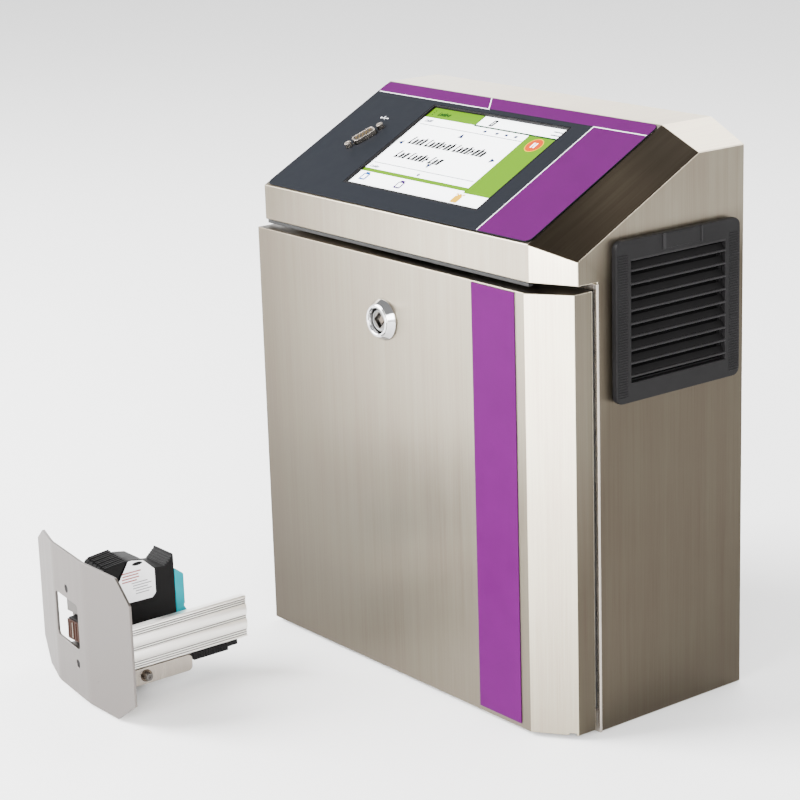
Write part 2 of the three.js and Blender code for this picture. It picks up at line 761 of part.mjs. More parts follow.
function headSocket() {
  const { y, z } = PORTS.head;
  const shell = prismX(roundedRectangle(y - 4.5, z - 17, y + 4.5, z + 17, 2), LEFT - 8, LEFT, 3);
  return join(leftInsert(PORTS.head, 16, 52, 10), shell);
}

function roundSocket(z) {
  const { y } = PORTS.head;
  return join(
    barX(LEFT - 10, LEFT - 1, y, z, SOCKET_RADIUS - 0.5, 6),
    barX(LEFT - 2.5, LEFT - GAP, y, z, SOCKET_RADIUS + 2.5, 6),
    barX(LEFT - 1, LEFT + 12, y, z, SOCKET_RADIUS - 0.2, 6),
  );
}

add("power_inlet", powerInlet(), blackPlastic);
add("switch_frame", switchFrame(), blackPlastic);
add("switch_rocker", switchRocker(), blackPlastic);
add("head_socket", headSocket(), brightSteel);
for (const { name, z } of SOCKETS) add(name, roundSocket(z), brightSteel);

// ---------------------------------------------------------------- print head
const head = new THREE.Group();
head.position.set(HEAD.x, HEAD.y, 0);
printer.add(head);

function addToHead(name, geometry, material) {
  return add(name, geometry, material, head);
}

// The plate's front or back line seen from above, from its right end to its left end.
function plateLine(offset) {
  const steps = 5;
  const turns = [
    { straight: RIGHT_WING - BEND_LENGTH / 2, by: CENTRE_BEND },
    { straight: CENTRE_WIDTH - BEND_LENGTH, by: LEFT_BEND - CENTRE_BEND },
    { straight: LEFT_WING - BEND_LENGTH / 2, by: 0 },
  ];
  let [x, y, heading] = [RIGHT_WING, 0, 0];
  const line = [];
  const mark = () => line.push([x + offset * Math.sin(heading), y + offset * Math.cos(heading)]);
  const walk = (length) => {
    x -= length * Math.cos(heading);
    y += length * Math.sin(heading);
    mark();
  };
  mark();
  for (const { straight, by } of turns) {
    walk(straight);
    for (let step = 0; by > 0 && step < steps; step++) {
      heading += by / steps / 2;
      walk(BEND_LENGTH / steps);
      heading += by / steps / 2;
    }
  }
  return line;
}

// What a slanting corner takes off one wing: an (s, z) outline, s running left from (x, y).
function cornerCut(points, x, y, bend) {
  return prismY(outline(points.map(([s, z]) => [-s, z])), -5, 9).rotateZ(-bend).translate(x, y, 0);
}

// A solid set in the centre flat, s to the left of its right bend.
function onCentreFlat(geometry) {
  return geometry.rotateZ(-CENTRE_BEND);
}

const FACE_SCREWS = [
  { word: "upper", s: 30, z: 76, low: 71.5, high: 84, depth: 8 },
  { word: "lower", s: 17, z: 25, low: 20.5, high: 31, depth: 10 },
];
const SCREW_HEAD = 2.7;

function facePlate() {
  const top = PLATE_HEIGHT;
  const foot = PLATE_FOOT;
  const bendX = -CENTRE_WIDTH * Math.cos(CENTRE_BEND);
  const bendY = CENTRE_WIDTH * Math.sin(CENTRE_BEND);
  const strip = prismZ(outline([...plateLine(0), ...plateLine(PLATE).reverse()]), foot, top);
  const right = RIGHT_WING;
  const left = LEFT_WING;
  const away = 12; // the cutting shapes reach this far past the plate
  const corners = [
    cornerCut([
      [-43, top], [-right, top - 15.5], [-right - away, top - 15.5],
      [-right - away, top + away], [-43, top + away],
    ], 0, 0, 0),
    cornerCut([
      [-36, foot], [-36, foot - away], [-right - away, foot - away],
      [-right - away, 17.5], [-right, 17.5],
    ], 0, 0, 0),
    cornerCut([
      [27, top], [27, top + away], [left + away, top + away], [left + away, 93], [left, 93],
    ], bendX, bendY, LEFT_BEND),
    cornerCut([
      [4, foot], [28, foot + 2], [left, 19], [left + away, 19],
      [left + away, foot - away], [4, foot - away],
    ], bendX, bendY, LEFT_BEND),
  ];
  const window = onCentreFlat(prismY(roundedRectangle(-50.5, 36.5, -12, 69, 3), -5, 8, 4));
  const holes = FACE_SCREWS.map(({ s, z }) =>
    onCentreFlat(prismY(circle(-s, z, SCREW_HEAD + GAP), -5, 8, 6)));
  return cut(strip, ...corners, window, ...holes);
}

function faceScrew({ s, z }) {
  return onCentreFlat(join(
    prismY(circle(-s, z, SCREW_HEAD), 0.4, PLATE + GAP, 6),
    prismY(circle(-s, z, 1.4), PLATE, PLATE + 2.4, 4),
  ));
}

const WALL = 3;
const HOLDER = { x0: CARTRIDGE.x0 - GAP - WALL, x1: CARTRIDGE.x1 + GAP + WALL, y0: 13, y1: 72 };

// The pocket that the cartridge slides into from behind.
function cartridgeHolder() {
  const { x0, x1, y0, y1 } = HOLDER;
  const floorZ = CARTRIDGE.z0 - GAP;
  const axis = LATCH_AXIS;
  const floor = block(x0, y0, floorZ - WALL, x1, y1, floorZ);
  const leftWall = prismX(
    outline([[y0, floorZ - 1], [y1, floorZ - 1], [y1, 60], [34, 70], [28, 86], [y0, 86]]), x0, x0 + WALL,
  );
  const rightWall = prismX(
    outline([[y0, floorZ - 1], [y1, floorZ - 1], [y1, 38], [34, 42], [27, 86], [y0, 86]]), x1 - WALL, x1,
  );
  const crossbars = [[floorZ - WALL, 33], [57, 86]].map(([low, high]) =>
    block(x0, 9, low, x1, y0 + 0.5, high));
  const tabs = FACE_SCREWS.map(({ s, z, low, high, depth }) =>
    onCentreFlat(cut(
      block(-s - 6, PLATE + GAP, low, -s + 5.5, depth, high),
      prismY(circle(-s, z, 1.8), 0, 9, 4),
    )));
  return cut(
    join(floor, leftWall, rightWall, ...crossbars, ...tabs),
    barX(x0 - 1, x1 + 1, axis.y, axis.z, 1.9, 6),
  );
}

function headFoot() {
  return block(HOLDER.x0 + 1, 15, 0, HOLDER.x1 - 1, 50, CARTRIDGE.z0 - 2 * GAP - WALL);
}

function cartridgeBody() {
  const { x0, x1, y0, y1, z0 } = CARTRIDGE;
  const side = outline([
    [y0, z0], [y1, z0], [y1, 87.5], [72.5, 80.5], [64, 81.8], [55.5, 89.8], [46, 91.6],
    [43, 91.6], [40, 86.4], [35.6, 79.4], [31, 74.8], [y0, 74.8],
  ]);
  return join(
    prismX(side, x0, x1),
    block(x0 + 0.4, 7.4, 37.6, x1 - 3, y0 + 1, 53.5),
  );
}

function cartridgeCap() {
  const { x0, x1, y1 } = CARTRIDGE;
  const y = y1 + GAP;
  const side = outline([
    [y, 29], [y + 8.8, 29], [y + 8.8, 44], [y + 6.8, 47.5], [y + 6.8, 72], [y, 77],
  ]);
  return prismX(side, x0 + 0.6, x1 - 0.2);
}

function nozzlePlate() {
  const { x0, x1 } = CARTRIDGE;
  return block(x0 + 0.7, 6.2, 38.4, x1 - 4, 7.1, 52.7);
}

// The lever hooks over the cartridge's shoulder; its thumb rest steps down towards the right.
function latchLever() {
  const { y, z } = LATCH_AXIS;
  const x0 = CARTRIDGE.x0 + 0.4;
  const x1 = CARTRIDGE.x1 - 0.4;
  const steps = 5;
  const width = (x1 - x0) / steps;
  const slices = [];
  for (let step = 0; step < steps; step++) {
    const rear = 93.6 - step * 0.6;
    const side = outline([
      [y - 3.5, z - 2.8], [y, z - 4.2], [29.5, z - 4], [34.6, 80.2], [38.8, 86.2], [41.3, 90],
      [42, rear], [24, rear - 2], [y - 3.5, z + 4],
    ]);
    slices.push(prismX(side, x0 + step * width, Math.min(x1, x0 + (step + 1) * width + 0.1)));
  }
  return cut(join(...slices), barX(x0 - 1, x1 + 1, y, z, 1.9, 6));
}

// The rail's section: a flat bar with fine grooves down its right side and a slot in its left.
const RAIL_GROOVES = [24.3, 26, 27.7, 36.6, 38.2, 47.4, 49, 50.6]; // height of each groove's foot
const GROOVE = { depth: 0.8, height: 0.7 };

function headRail() {
  const { x0, x1, y0, y1, z0, z1 } = RAIL;
  const bar = prismY(roundedRectangle(x0, z0, x1, z1, 1.2), y0, y1, 2);
  const grooves = RAIL_GROOVES.map((z) =>
    block(x1 - GROOVE.depth, y0 - 1, z, x1 + 1, y1 + 1, z + GROOVE.height));
  const slot = block(x0 - 1, y0 - 1, 34, x0 + 3, y1 + 1, 42);
  return cut(bar, ...grooves, slot);
}

const CLAMP = { y: 37, z: 16.4 };

function railBracket() {
  const { x1, z0 } = RAIL;
  const top = z0 - GAP;
  const web = prismX(roundedRectangle(PLATE + GAP, 10.2, 75, top, 3.5), x1 - 2, x1, 4);
  const shelf = block(HOLDER.x1 - 1 + GAP, RAIL.y0, top - 2, x1 - 1, 71, top);
  return cut(join(web, shelf), barX(x1 - 5, x1 + 2, CLAMP.y, CLAMP.z, 1.9, 4));
}

function clampScrew() {
  const { x1 } = RAIL;
  const { y, z } = CLAMP;
  return cut(
    join(barX(x1 + 1.3, x1 + 4.3, y, z, 2.75, 6), barX(x1 - 7, x1 + 2, y, z, 1.5, 4)),
    barX(x1 + 2.6, x1 + 5, y, z, 1.5, 2),
  );
}

function clampWasher() {
  const { x1 } = RAIL;
  const { y, z } = CLAMP;
  return cut(barX(x1 + GAP, x1 + 1, y, z, 4, 6), barX(x1 - 1, x1 + 3, y, z, 1.8, 4));
}

function railConnector() {
  const { x0, x1, z0 } = RAIL;
  const top = z0 - GAP;
  const inner = x0 - 9;
  return join(
    block(inner, 77, 16.2, x1 - 1, 106, top),
    block(inner, 105, 18.6, x1 - 1, 114, top),
  );
}

function contactBoard() {
  const { x0, y0 } = HOLDER;
  return block(x0 - GAP - 1.6, y0 + 2, 30, x0 - GAP, 60, 68);
}

addToHead("face_plate", facePlate(), zinc);
for (const screw of FACE_SCREWS) addToHead("face_screw_" + screw.word, faceScrew(screw), zinc);
addToHead("cartridge_holder", cartridgeHolder(), zinc);
addToHead("contact_board", contactBoard(), boardGreen);
addToHead("head_foot", headFoot(), zinc);
addToHead("cartridge_body", cartridgeBody(), blackPlastic);
addToHead("cartridge_cap", cartridgeCap(), teal);
addToHead("nozzle_plate", nozzlePlate(), copper);
addToHead("latch_lever", latchLever(), blackPlastic);
addToHead(
  "latch_pin",
  barX(HOLDER.x0 - 0.5, HOLDER.x1 + 0.5, LATCH_AXIS.y, LATCH_AXIS.z, 1.5, 6),
  chrome,
);
addToHead("head_rail", headRail(), aluminium);
addToHead("rail_bracket", railBracket(), brightSteel);
addToHead("clamp_screw", clampScrew(), zinc);
addToHead("clamp_washer", clampWasher(), zinc);
addToHead("rail_connector", railConnector(), blackPlastic);

export default printer;
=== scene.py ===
import json
import math

import bmesh
import bpy
from mathutils import Matrix, Vector

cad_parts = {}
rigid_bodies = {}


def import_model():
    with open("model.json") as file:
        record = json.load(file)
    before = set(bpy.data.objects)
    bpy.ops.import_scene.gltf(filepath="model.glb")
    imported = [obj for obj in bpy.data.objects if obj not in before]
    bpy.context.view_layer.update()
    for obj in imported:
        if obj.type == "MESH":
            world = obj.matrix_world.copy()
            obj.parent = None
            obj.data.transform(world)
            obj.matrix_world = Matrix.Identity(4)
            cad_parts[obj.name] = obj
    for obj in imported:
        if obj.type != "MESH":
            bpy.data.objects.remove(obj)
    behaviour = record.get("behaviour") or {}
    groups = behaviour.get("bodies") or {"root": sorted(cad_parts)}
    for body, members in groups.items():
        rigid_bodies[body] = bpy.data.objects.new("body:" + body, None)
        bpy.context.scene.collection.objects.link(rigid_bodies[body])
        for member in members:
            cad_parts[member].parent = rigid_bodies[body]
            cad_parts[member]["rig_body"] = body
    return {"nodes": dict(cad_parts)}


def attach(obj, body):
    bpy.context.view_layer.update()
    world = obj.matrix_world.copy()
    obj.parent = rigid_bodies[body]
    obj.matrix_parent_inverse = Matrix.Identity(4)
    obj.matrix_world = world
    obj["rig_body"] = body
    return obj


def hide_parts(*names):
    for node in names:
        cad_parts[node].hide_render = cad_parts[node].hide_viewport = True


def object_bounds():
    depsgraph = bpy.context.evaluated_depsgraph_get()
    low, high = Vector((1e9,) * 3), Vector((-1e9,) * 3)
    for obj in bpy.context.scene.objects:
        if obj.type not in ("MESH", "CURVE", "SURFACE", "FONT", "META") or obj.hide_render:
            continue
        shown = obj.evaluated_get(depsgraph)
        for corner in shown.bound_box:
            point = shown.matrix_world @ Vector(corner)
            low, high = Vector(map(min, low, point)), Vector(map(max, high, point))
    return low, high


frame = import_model()
CAD_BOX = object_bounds()

MM = 0.001  # shapes are written in millimetres and the scene is in metres


# ------------------------------ camera
def make_camera():
    """The view from the front right, a little above, with a slight roll."""
    eye = Vector((1.2594, -1.0636, 0.6586))
    target = Vector((-0.00735, -0.0805, 0.1994))
    roll = math.radians(-1.8)
    data = bpy.data.cameras.new("camera")
    data.sensor_width = 36
    data.lens = 110.63
    camera = bpy.data.objects.new("camera", data)
    bpy.context.scene.collection.objects.link(camera)
    back = (eye - target).normalized()
    right = Vector((0, 0, 1)).cross(back).normalized()
    up = back.cross(right)
    across = right * math.cos(roll) + up * math.sin(roll)
    upward = up * math.cos(roll) - right * math.sin(roll)
    turn = Matrix((across, upward, back)).transposed().to_4x4()
    camera.matrix_world = Matrix.Translation(eye) @ turn
    bpy.context.scene.camera = camera


make_camera()


# ------------------------------ materials
class Shader:
    """One node-based material, with short calls for the nodes that it uses."""

    def __init__(self, name, color=(0.5, 0.5, 0.5), roughness=0.5, metallic=0.0):
        self.material = bpy.data.materials.new(name)
        self.material.use_nodes = True
        self.tree = self.material.node_tree
        self.surface = self.tree.nodes["Principled BSDF"]
        self.set(base_color=(*color, 1), roughness=roughness, metallic=metallic)
        coordinates = self.node("TexCoord", {})
        self.place = coordinates.outputs["Object"]
        self.facing = coordinates.outputs["Normal"]

    def set(self, **values):
        for name, value in values.items():
            socket = self.surface.inputs[name.replace("_", " ").title().replace("Ior", "IOR")]
            socket.default_value = value

    def join(self, value, socket):
        if isinstance(value, bpy.types.NodeSocket):
            self.tree.links.new(value, socket)
        else:
            socket.default_value = value

    def node(self, kind, inputs, **settings):
        """A node of that kind, with its settings and with its inputs joined or set."""
        node = self.tree.nodes.new("ShaderNode" + kind)
        for name, value in settings.items():
            setattr(node, name, value)
        for name, value in inputs.items():
            self.join(value, node.inputs[name])
        return node

    def math(self, operation, first, second=0.0):
        return self.node("Math", {0: first, 1: second}, operation=operation).outputs[0]

    def split(self, vector):
        return self.node("SeparateXYZ", {0: vector}).outputs

    def combine(self, x, y, z):
        return self.node("CombineXYZ", {0: x, 1: y, 2: z}).outputs[0]

    def stretch(self, vector, factors):
        return self.node("VectorMath", {0: vector, 1: factors}, operation="MULTIPLY").outputs[0]

    def noise(self, vector, scale, detail=3.0, roughness=0.55):
        inputs = {"Vector": vector, "Scale": scale, "Detail": detail, "Roughness": roughness}
        return self.node("TexNoise", inputs).outputs["Fac"]

    def cells(self, vector, scale):
        return self.node("TexVoronoi", {"Vector": vector, "Scale": scale}).outputs["Color"]

    def spread(self, value, low, high, from_low=0.3, from_high=0.7):
        """Low to high as value goes from from_low to from_high, and held beyond them."""
        inputs = {"Value": value, "From Min": from_low, "From Max": from_high, "To Min": low, "To Max": high}
        return self.node("MapRange", inputs).outputs["Result"]

    def mix(self, factor, first, second, blend="MIX"):
        """Two colours mixed: each is a tuple or a socket."""
        first, second = ((*value, 1) if isinstance(value, tuple) else value for value in (first, second))
        inputs = {"Factor": factor, 6: first, 7: second}
        return self.node("Mix", inputs, data_type="RGBA", blend_type=blend).outputs[2]

    def product(self, first, *others):
        """The product of numbers."""
        for other in others:
            first = self.math("MULTIPLY", first, other)
        return first

    def above(self, value, limit):
        """1 where value is over limit, else 0."""
        return self.math("GREATER_THAN", value, limit)

    def bump(self, height, distance):
        """A relief of that many millimetres."""
        node = self.node("Bump", {"Strength": 1.0, "Distance": distance * MM, "Height": height})
        self.join(node.outputs[0], self.surface.inputs["Normal"])

    def color(self, value):
        self.join(value, self.surface.inputs["Base Color"])

    def roughness(self, value):
        self.join(value, self.surface.inputs["Roughness"])


def shade(color, factor):
    return tuple(min(1.0, channel * factor) for channel in color)


def brushed(name, color, rough, relief=0.006, contrast=0.16, upright=True, with_painted_light=False):
    """Brushed sheet: streaks run up the walls and up the slope, or along Y where upright is false."""
    steel = Shader(name, color, metallic=1.0)
    x, y, z = steel.split(steel.place)
    drawn_out = 0.012  # the streaks' width over their length
    if upright:
        side = steel.above(steel.math("ABSOLUTE", steel.split(steel.facing)[0]), 0.75)
        across = steel.math("ADD", x, steel.product(steel.math("SUBTRACT", y, x), side))
        grain = steel.combine(across, steel.product(y, drawn_out), steel.product(z, drawn_out))
    else:
        grain = steel.combine(x, steel.product(y, drawn_out), z)
    fine = steel.noise(grain, 1500, 3.0, 0.65)
    bands = steel.noise(grain, 170, 3.0, 0.6)
    clouds = steel.noise(steel.place, 16, 3.0)
    both = steel.math("ADD", steel.product(fine, 0.55), steel.product(bands, 0.45))
    tone = steel.math("ADD", steel.product(both, 0.8), steel.product(clouds, 0.2))
    tint = steel.mix(steel.spread(tone, 0, 1), shade(color, 1 - contrast), shade(color, 1 + contrast))
    # With painted light, the tint is multiplied by painted light and shade set by how each face is turned and
    # where it is.
    steel.color(painted_light_and_shade(steel, tint, (x, y, z)) if with_painted_light else tint)
    if upright:
        around = steel.node("Tangent", {}, axis="Z")
        steel.join(around.outputs[0], steel.surface.inputs["Tangent"])
        steel.set(anisotropic=0.75)
    steel.roughness(steel.spread(tone, *rough))
    steel.bump(both, relief)
    return steel.material


def painted_light_and_shade(steel, tint, place):
    """Painted light and shade on the cabinet's sheet: its tone follows the way it faces and how far up and
    across it is.

    The front is painted browner towards its foot and its left side, and brighter on the hood above the door,
    as painted reflections. The right wall is painted the darkest sheet, a painted dark reflection, the sloped
    margin beside the panel is painted nearly as dark, and the folded corners and the roof are painted
    brightest, as painted highlights.
    Each spread gives a brightness at two heights, depths or widths, in metres.
    """
    x, y, z = place
    right, front, top = steel.split(steel.facing)

    def less(first, *others):
        for other in others:
            first = steel.math("SUBTRACT", first, other)
        return first

    rightward = steel.above(right, 0.35)
    on_wall = steel.above(right, 0.93)
    on_roof = steel.product(steel.above(top, 0.5), steel.above(front, -0.2))
    on_margin = steel.product(steel.above(top, 0.2), steel.above(right, 0.1), steel.above(-0.2, front))
    on_corner = less(rightward, on_wall, on_margin, steel.product(on_roof, rightward))
    on_sheet = less(1.0, on_wall, on_roof, on_margin, on_corner)
    on_front = steel.above(-0.7, front)
    # Painted highlight: the hood's front above the door is painted 30 per cent brighter.
    hood = steel.math("ADD", 1.0, steel.product(steel.spread(z, 0.0, 0.3, 0.297, 0.299), on_front))
    # Painted reflections: the front sheet is painted darker towards its foot and its left side.
    rise = steel.product(steel.spread(z, 0.12, 0.315, 0.0, 0.30), hood)
    sheet = steel.product(rise, steel.spread(x, 0.26, 0.95, -0.15, 0.05))
    # Painted highlights on the folded corners and the roof; painted dark reflection on the right wall,
    # lighter at its top and its front edge.
    corner = steel.spread(z, 0.34, 1.2, 0.0, 0.30)
    wall = steel.spread(z, 0.03, 0.16, 0.30, 0.335)
    edge = steel.product(steel.spread(y, 0.10, 0.0, -0.06, -0.03), steel.spread(z, 0.2, 1.0, 0.08, 0.24))
    roof = steel.product(steel.spread(right, 0.62, 0.98, 0.05, 0.2), steel.above(z, 0.33))
    parts = (
        (sheet, on_sheet), (corner, on_corner), (steel.math("MAXIMUM", wall, edge), on_wall), (roof, on_roof),
    )
    factor = 0.0
    for amount, mask in parts:
        factor = steel.math("ADD", factor, steel.product(amount, mask))
    # The painted shade's darkest colour, mixed towards white by the painted brightness.
    tone = steel.mix(factor, (0.040, 0.035, 0.030), (1.0, 1.0, 1.0))
    return steel.mix(1.0, tint, tone, "MULTIPLY")


def moulded(name, color, shine=0.5, rough=(0.42, 0.6), grain=0.02):
    """Injection-moulded plastic with a spark-eroded grain, faint clouds and rubbed patches."""
    plastic = Shader(name, color)
    texture = plastic.noise(plastic.place, 2600, 2.0, 0.6)
    clouds = plastic.noise(plastic.place, 45, 4.0)
    rubbed = plastic.noise(plastic.stretch(plastic.place, (1, 0.4, 1)), 190, 5.0, 0.7)
    plastic.color(plastic.mix(plastic.spread(clouds, 0, 1), shade(color, 0.86), shade(color, 1.16)))
    plastic.roughness(plastic.spread(plastic.product(plastic.math("ADD", clouds, rubbed), 0.5), *rough))
    plastic.bump(texture, grain)
    plastic.set(specular_ior_level=shine)
    return plastic.material


def film(name, color):
    """Printed polyester film with a fine velvet surface."""
    sheet = Shader(name, color)
    velvet = sheet.noise(sheet.place, 3000, 2.0)
    ripples = sheet.noise(sheet.place, 60, 3.0)
    sheet.color(sheet.mix(sheet.spread(ripples, 0, 1), shade(color, 0.95), shade(color, 1.05)))
    sheet.roughness(sheet.spread(ripples, 0.42, 0.55))
    sheet.bump(sheet.math("ADD", sheet.product(velvet, 0.3), ripples), 0.03)
    sheet.set(specular_ior_level=0.02)
    return sheet.material


def lit(name, color):
    """A lit area of the display: it glows and shows the panel's fine rows of dots."""
    area = Shader(name, color, 0.4)
    x, y, z = area.split(area.place)
    columns = area.math("SINE", area.product(x, 2 * math.pi / (0.4 * MM)))
    rows = area.math("SINE", area.product(z, 2 * math.pi / (0.2 * MM)))
    dots = area.product(columns, rows)
    tint = area.mix(area.spread(dots, 0, 1, -1, 1), shade(color, 0.97), shade(color, 1.02))
    area.color(tint)
    area.join(tint, area.surface.inputs["Emission Color"])
    area.set(emission_strength=1.3, specular_ior_level=0.02)
    return area.material


def plated(name, color, rough=(0.04, 0.14)):
    """Polished plating with hairline scratches and faint smears."""
    metal = Shader(name, color, metallic=1.0)
    hair = metal.noise(metal.stretch(metal.place, (1, 1, 0.05)), 2600, 4.0, 0.7)
    smear = metal.noise(metal.place, 110, 3.0)
    metal.color(metal.mix(metal.spread(smear, 0, 1), shade(color, 0.93), shade(color, 1.04)))
    metal.roughness(metal.spread(metal.product(metal.math("ADD", hair, smear), 0.5), *rough))
    metal.bump(hair, 0.002)
    return metal.material


def zinc_plated(name, color):
    """Bright zinc over sheet steel: crystals of slightly different tone."""
    metal = Shader(name, color, metallic=1.0)
    crystals = metal.cells(metal.place, 260)
    dust = metal.noise(metal.place, 900, 3.0)
    tone = metal.math("ADD", metal.product(crystals, 0.4), metal.product(dust, 0.6))
    metal.color(metal.mix(metal.spread(tone, 0, 1, 0.2, 0.8), shade(color, 0.85), shade(color, 1.12)))
    metal.roughness(metal.spread(tone, 0.3, 0.48, 0.2, 0.8))
    metal.bump(dust, 0.01)
    return metal.material


def rubber(name, color):
    """Extruded seal rubber with a dusty bloom."""
    seal = Shader(name, color, 0.8)
    pores = seal.noise(seal.place, 1800, 3.0)
    bloom = seal.noise(seal.place, 90, 4.0)
    seal.color(seal.mix(seal.spread(bloom, 0, 1), shade(color, 0.8), shade(color, 1.5)))
    seal.roughness(seal.spread(bloom, 0.7, 0.9))
    seal.bump(pores, 0.04)
    return seal.material


def circuit_board(name, color):
    """Green solder mask with raised copper tracks, in both directions, and tinned points."""
    board = Shader(name, color, 0.35)
    x, y, z = board.split(board.place)
    columns = board.above(board.math("SINE", board.product(x, 2600)), 0.35)
    rows = board.above(board.math("SINE", board.product(z, 2600)), 0.35)
    upright = board.above(board.noise(board.place, 70, 0.0), 0.5)
    level = board.math("SUBTRACT", 1.0, upright)
    tracks = board.math("ADD", board.product(columns, upright), board.product(rows, level))
    board.color(board.mix(tracks, color, shade(color, 1.9)))
    board.roughness(board.spread(board.noise(board.place, 300), 0.28, 0.45))
    board.bump(tracks, 0.06)
    board.set(coat_weight=0.3, coat_roughness=0.2)
    return board.material


def fibre(name, color):
    """Needled filter mat: tangled strands."""
    mat = Shader(name, color, 0.95)
    strands = mat.noise(mat.place, 700, 6.0, 0.75)
    lumps = mat.noise(mat.place, 120, 3.0)
    mat.color(mat.mix(mat.spread(strands, 0, 1), shade(color, 0.5), shade(color, 1.5)))
    mat.bump(mat.math("ADD", strands, lumps), 0.5)
    mat.set(specular_ior_level=0.05)
    return mat.material


def printed_paper(name, color):
    """Label paper and its inks, with a faint tooth."""
    paper = Shader(name, color, 0.5)
    tooth = paper.noise(paper.place, 2400, 3.0)
    clouds = paper.noise(paper.place, 120, 2.0)
    paper.color(paper.mix(paper.spread(clouds, 0, 1), shade(color, 0.95), shade(color, 1.03)))
    paper.roughness(paper.spread(clouds, 0.42, 0.58))
    paper.bump(tooth, 0.012)
    return paper.material


# material: the kind of finish, its base colour and what that kind takes next
FINISHES = {
    # The cabinet's steel takes painted light and shade: its last True.
    "steel": (brushed, (0.95, 0.78, 0.61), (0.32, 0.46), 0.012, 0.21, True, True),
    "bright_steel": (brushed, (0.387, 0.348, 0.304), (0.18, 0.32)),
    "plate_steel": (brushed, (0.146, 0.133, 0.125), (0.34, 0.5), 0.006, 0.07),
    "aluminium": (brushed, (0.93, 0.91, 0.87), (0.3, 0.44), 0.006, 0.06, False),
    "chrome": (plated, (0.547, 0.547, 0.553)),
    # Dark steel for painted shade in recesses: groove floors, screw crosses and the supply's vent holes.
    "dark_steel": (plated, (0.016, 0.016, 0.0168), (0.25, 0.4)),
    "lock_grey": (plated, (0.122, 0.115, 0.108), (0.2, 0.34)),
    "gold": (plated, (0.288, 0.209, 0.0791), (0.15, 0.3)),
    "brown_metal": (plated, (0.108, 0.0863, 0.0683), (0.18, 0.34)),
    "zinc": (zinc_plated, (0.168, 0.171, 0.174)),
    "holder_grey": (zinc_plated, (0.0863, 0.0809, 0.0755)),
    "slate": (film, (0.00676, 0.00782, 0.0102)),
    "purple": (film, (0.0458, 0.0024, 0.0473)),
    "white_print": (film, (0.62, 0.62, 0.64)),
    "bezel": (moulded, (0.00444, 0.00408, 0.00444), 0.07, (0.2, 0.35), 0.008),
    "vent_black": (moulded, (0.00679, 0.00651, 0.00679), 0.07, (0.38, 0.52)),
    # Darker and lighter copies of the vent's black: painted shade for the slats and the face screws, painted
    # highlight for the lips.
    "vent_dark": (moulded, (0.0035, 0.0033, 0.0034), 0.07, (0.5, 0.65)),
    "vent_lip": (moulded, (0.013, 0.0125, 0.013), 0.07, (0.3, 0.42)),
    "black_plastic": (moulded, (0.00672, 0.00654, 0.00672), 0.07),
    "teal": (moulded, (0.0005, 0.24, 0.29), 0.06, (0.35, 0.5)),
    "copper": (moulded, (0.016, 0.0042, 0.0013), 0.1, (0.3, 0.5)),
    "terminal_grey": (moulded, (0.134, 0.134, 0.123)),
    "wire_red": (moulded, (0.244, 0.0116, 0.0087), 0.5, (0.35, 0.5)),
    "wire_blue": (moulded, (0.0116, 0.0348, 0.186), 0.5, (0.35, 0.5)),
    "wire_grey": (moulded, (0.0928, 0.0928, 0.0986), 0.5, (0.4, 0.55)),
    "rubber": (rubber, (0.00522, 0.00522, 0.00522)),
    "fibre": (fibre, (0.0016, 0.0016, 0.0016)),
    "board": (circuit_board, (0.00444, 0.0279, 0.0112)),
    "paper": (printed_paper, (0.9, 0.9, 0.92)),
    "red_ink": (printed_paper, (0.268, 0.0372, 0.0335)),
    "grey_ink": (printed_paper, (0.112, 0.112, 0.119)),
    "screen_white": (lit, (0.88, 0.9, 0.92)),
    "screen_lime": (lit, (0.0489, 0.119, 0.0004)),
    "screen_green": (lit, (0.0004, 0.0179, 0.00369)),
    "screen_black": (lit, (0.00149, 0.00157, 0.00182)),
    "screen_grey": (lit, (0.0462, 0.0582, 0.0727)),
    "screen_blue": (lit, (0.00429, 0.00875, 0.0349)),
    "screen_sky": (lit, (0.0004, 0.0387, 0.159)),
    "screen_violet": (lit, (0.018, 0.00295, 0.0521)),
    "screen_yellow": (lit, (0.374, 0.205, 0.0004)),
    "screen_orange": (lit, (0.279, 0.0269, 0.0004)),
}
MATERIALS = {name: kind(name, *values) for name, (kind, *values) in FINISHES.items()}


# ------------------------------ mesh code
def rounded_rectangle(a0, b0, a1, b1, radius, steps=5):
    """The corner points of a rectangle with round corners, anticlockwise."""
    points = []
    left, right, low, high = a0 + radius, a1 - radius, b0 + radius, b1 - radius
    corners = [(right, low), (right, high), (left, high), (left, low)]
    for quarter, (a, b) in enumerate(corners):
        for step in range(steps + 1):
            angle = math.radians(-90 + 90 * quarter + 90 * step / steps)
            points.append((a + radius * math.cos(angle), b + radius * math.sin(angle)))
    return points


def ring(a, b, radius, steps=24, height=None):
    """The points of a circle, or of an ellipse whose half height is given."""
    turns = [2 * math.pi * step / steps for step in range(steps)]
    return [(a + radius * math.cos(t), b + (height or radius) * math.sin(t)) for t in turns]


# Each maps an outline's a and b and its extrusion's height to x, y and z.
PLANES = {
    "z": Matrix.Identity(4),
    "x": Matrix(((0, 0, 1, 0), (1, 0, 0, 0), (0, 1, 0, 0), (0, 0, 0, 1))),
    "y": Matrix(((1, 0, 0, 0), (0, 0, -1, 0), (0, 1, 0, 0), (0, 0, 0, 1))),
}


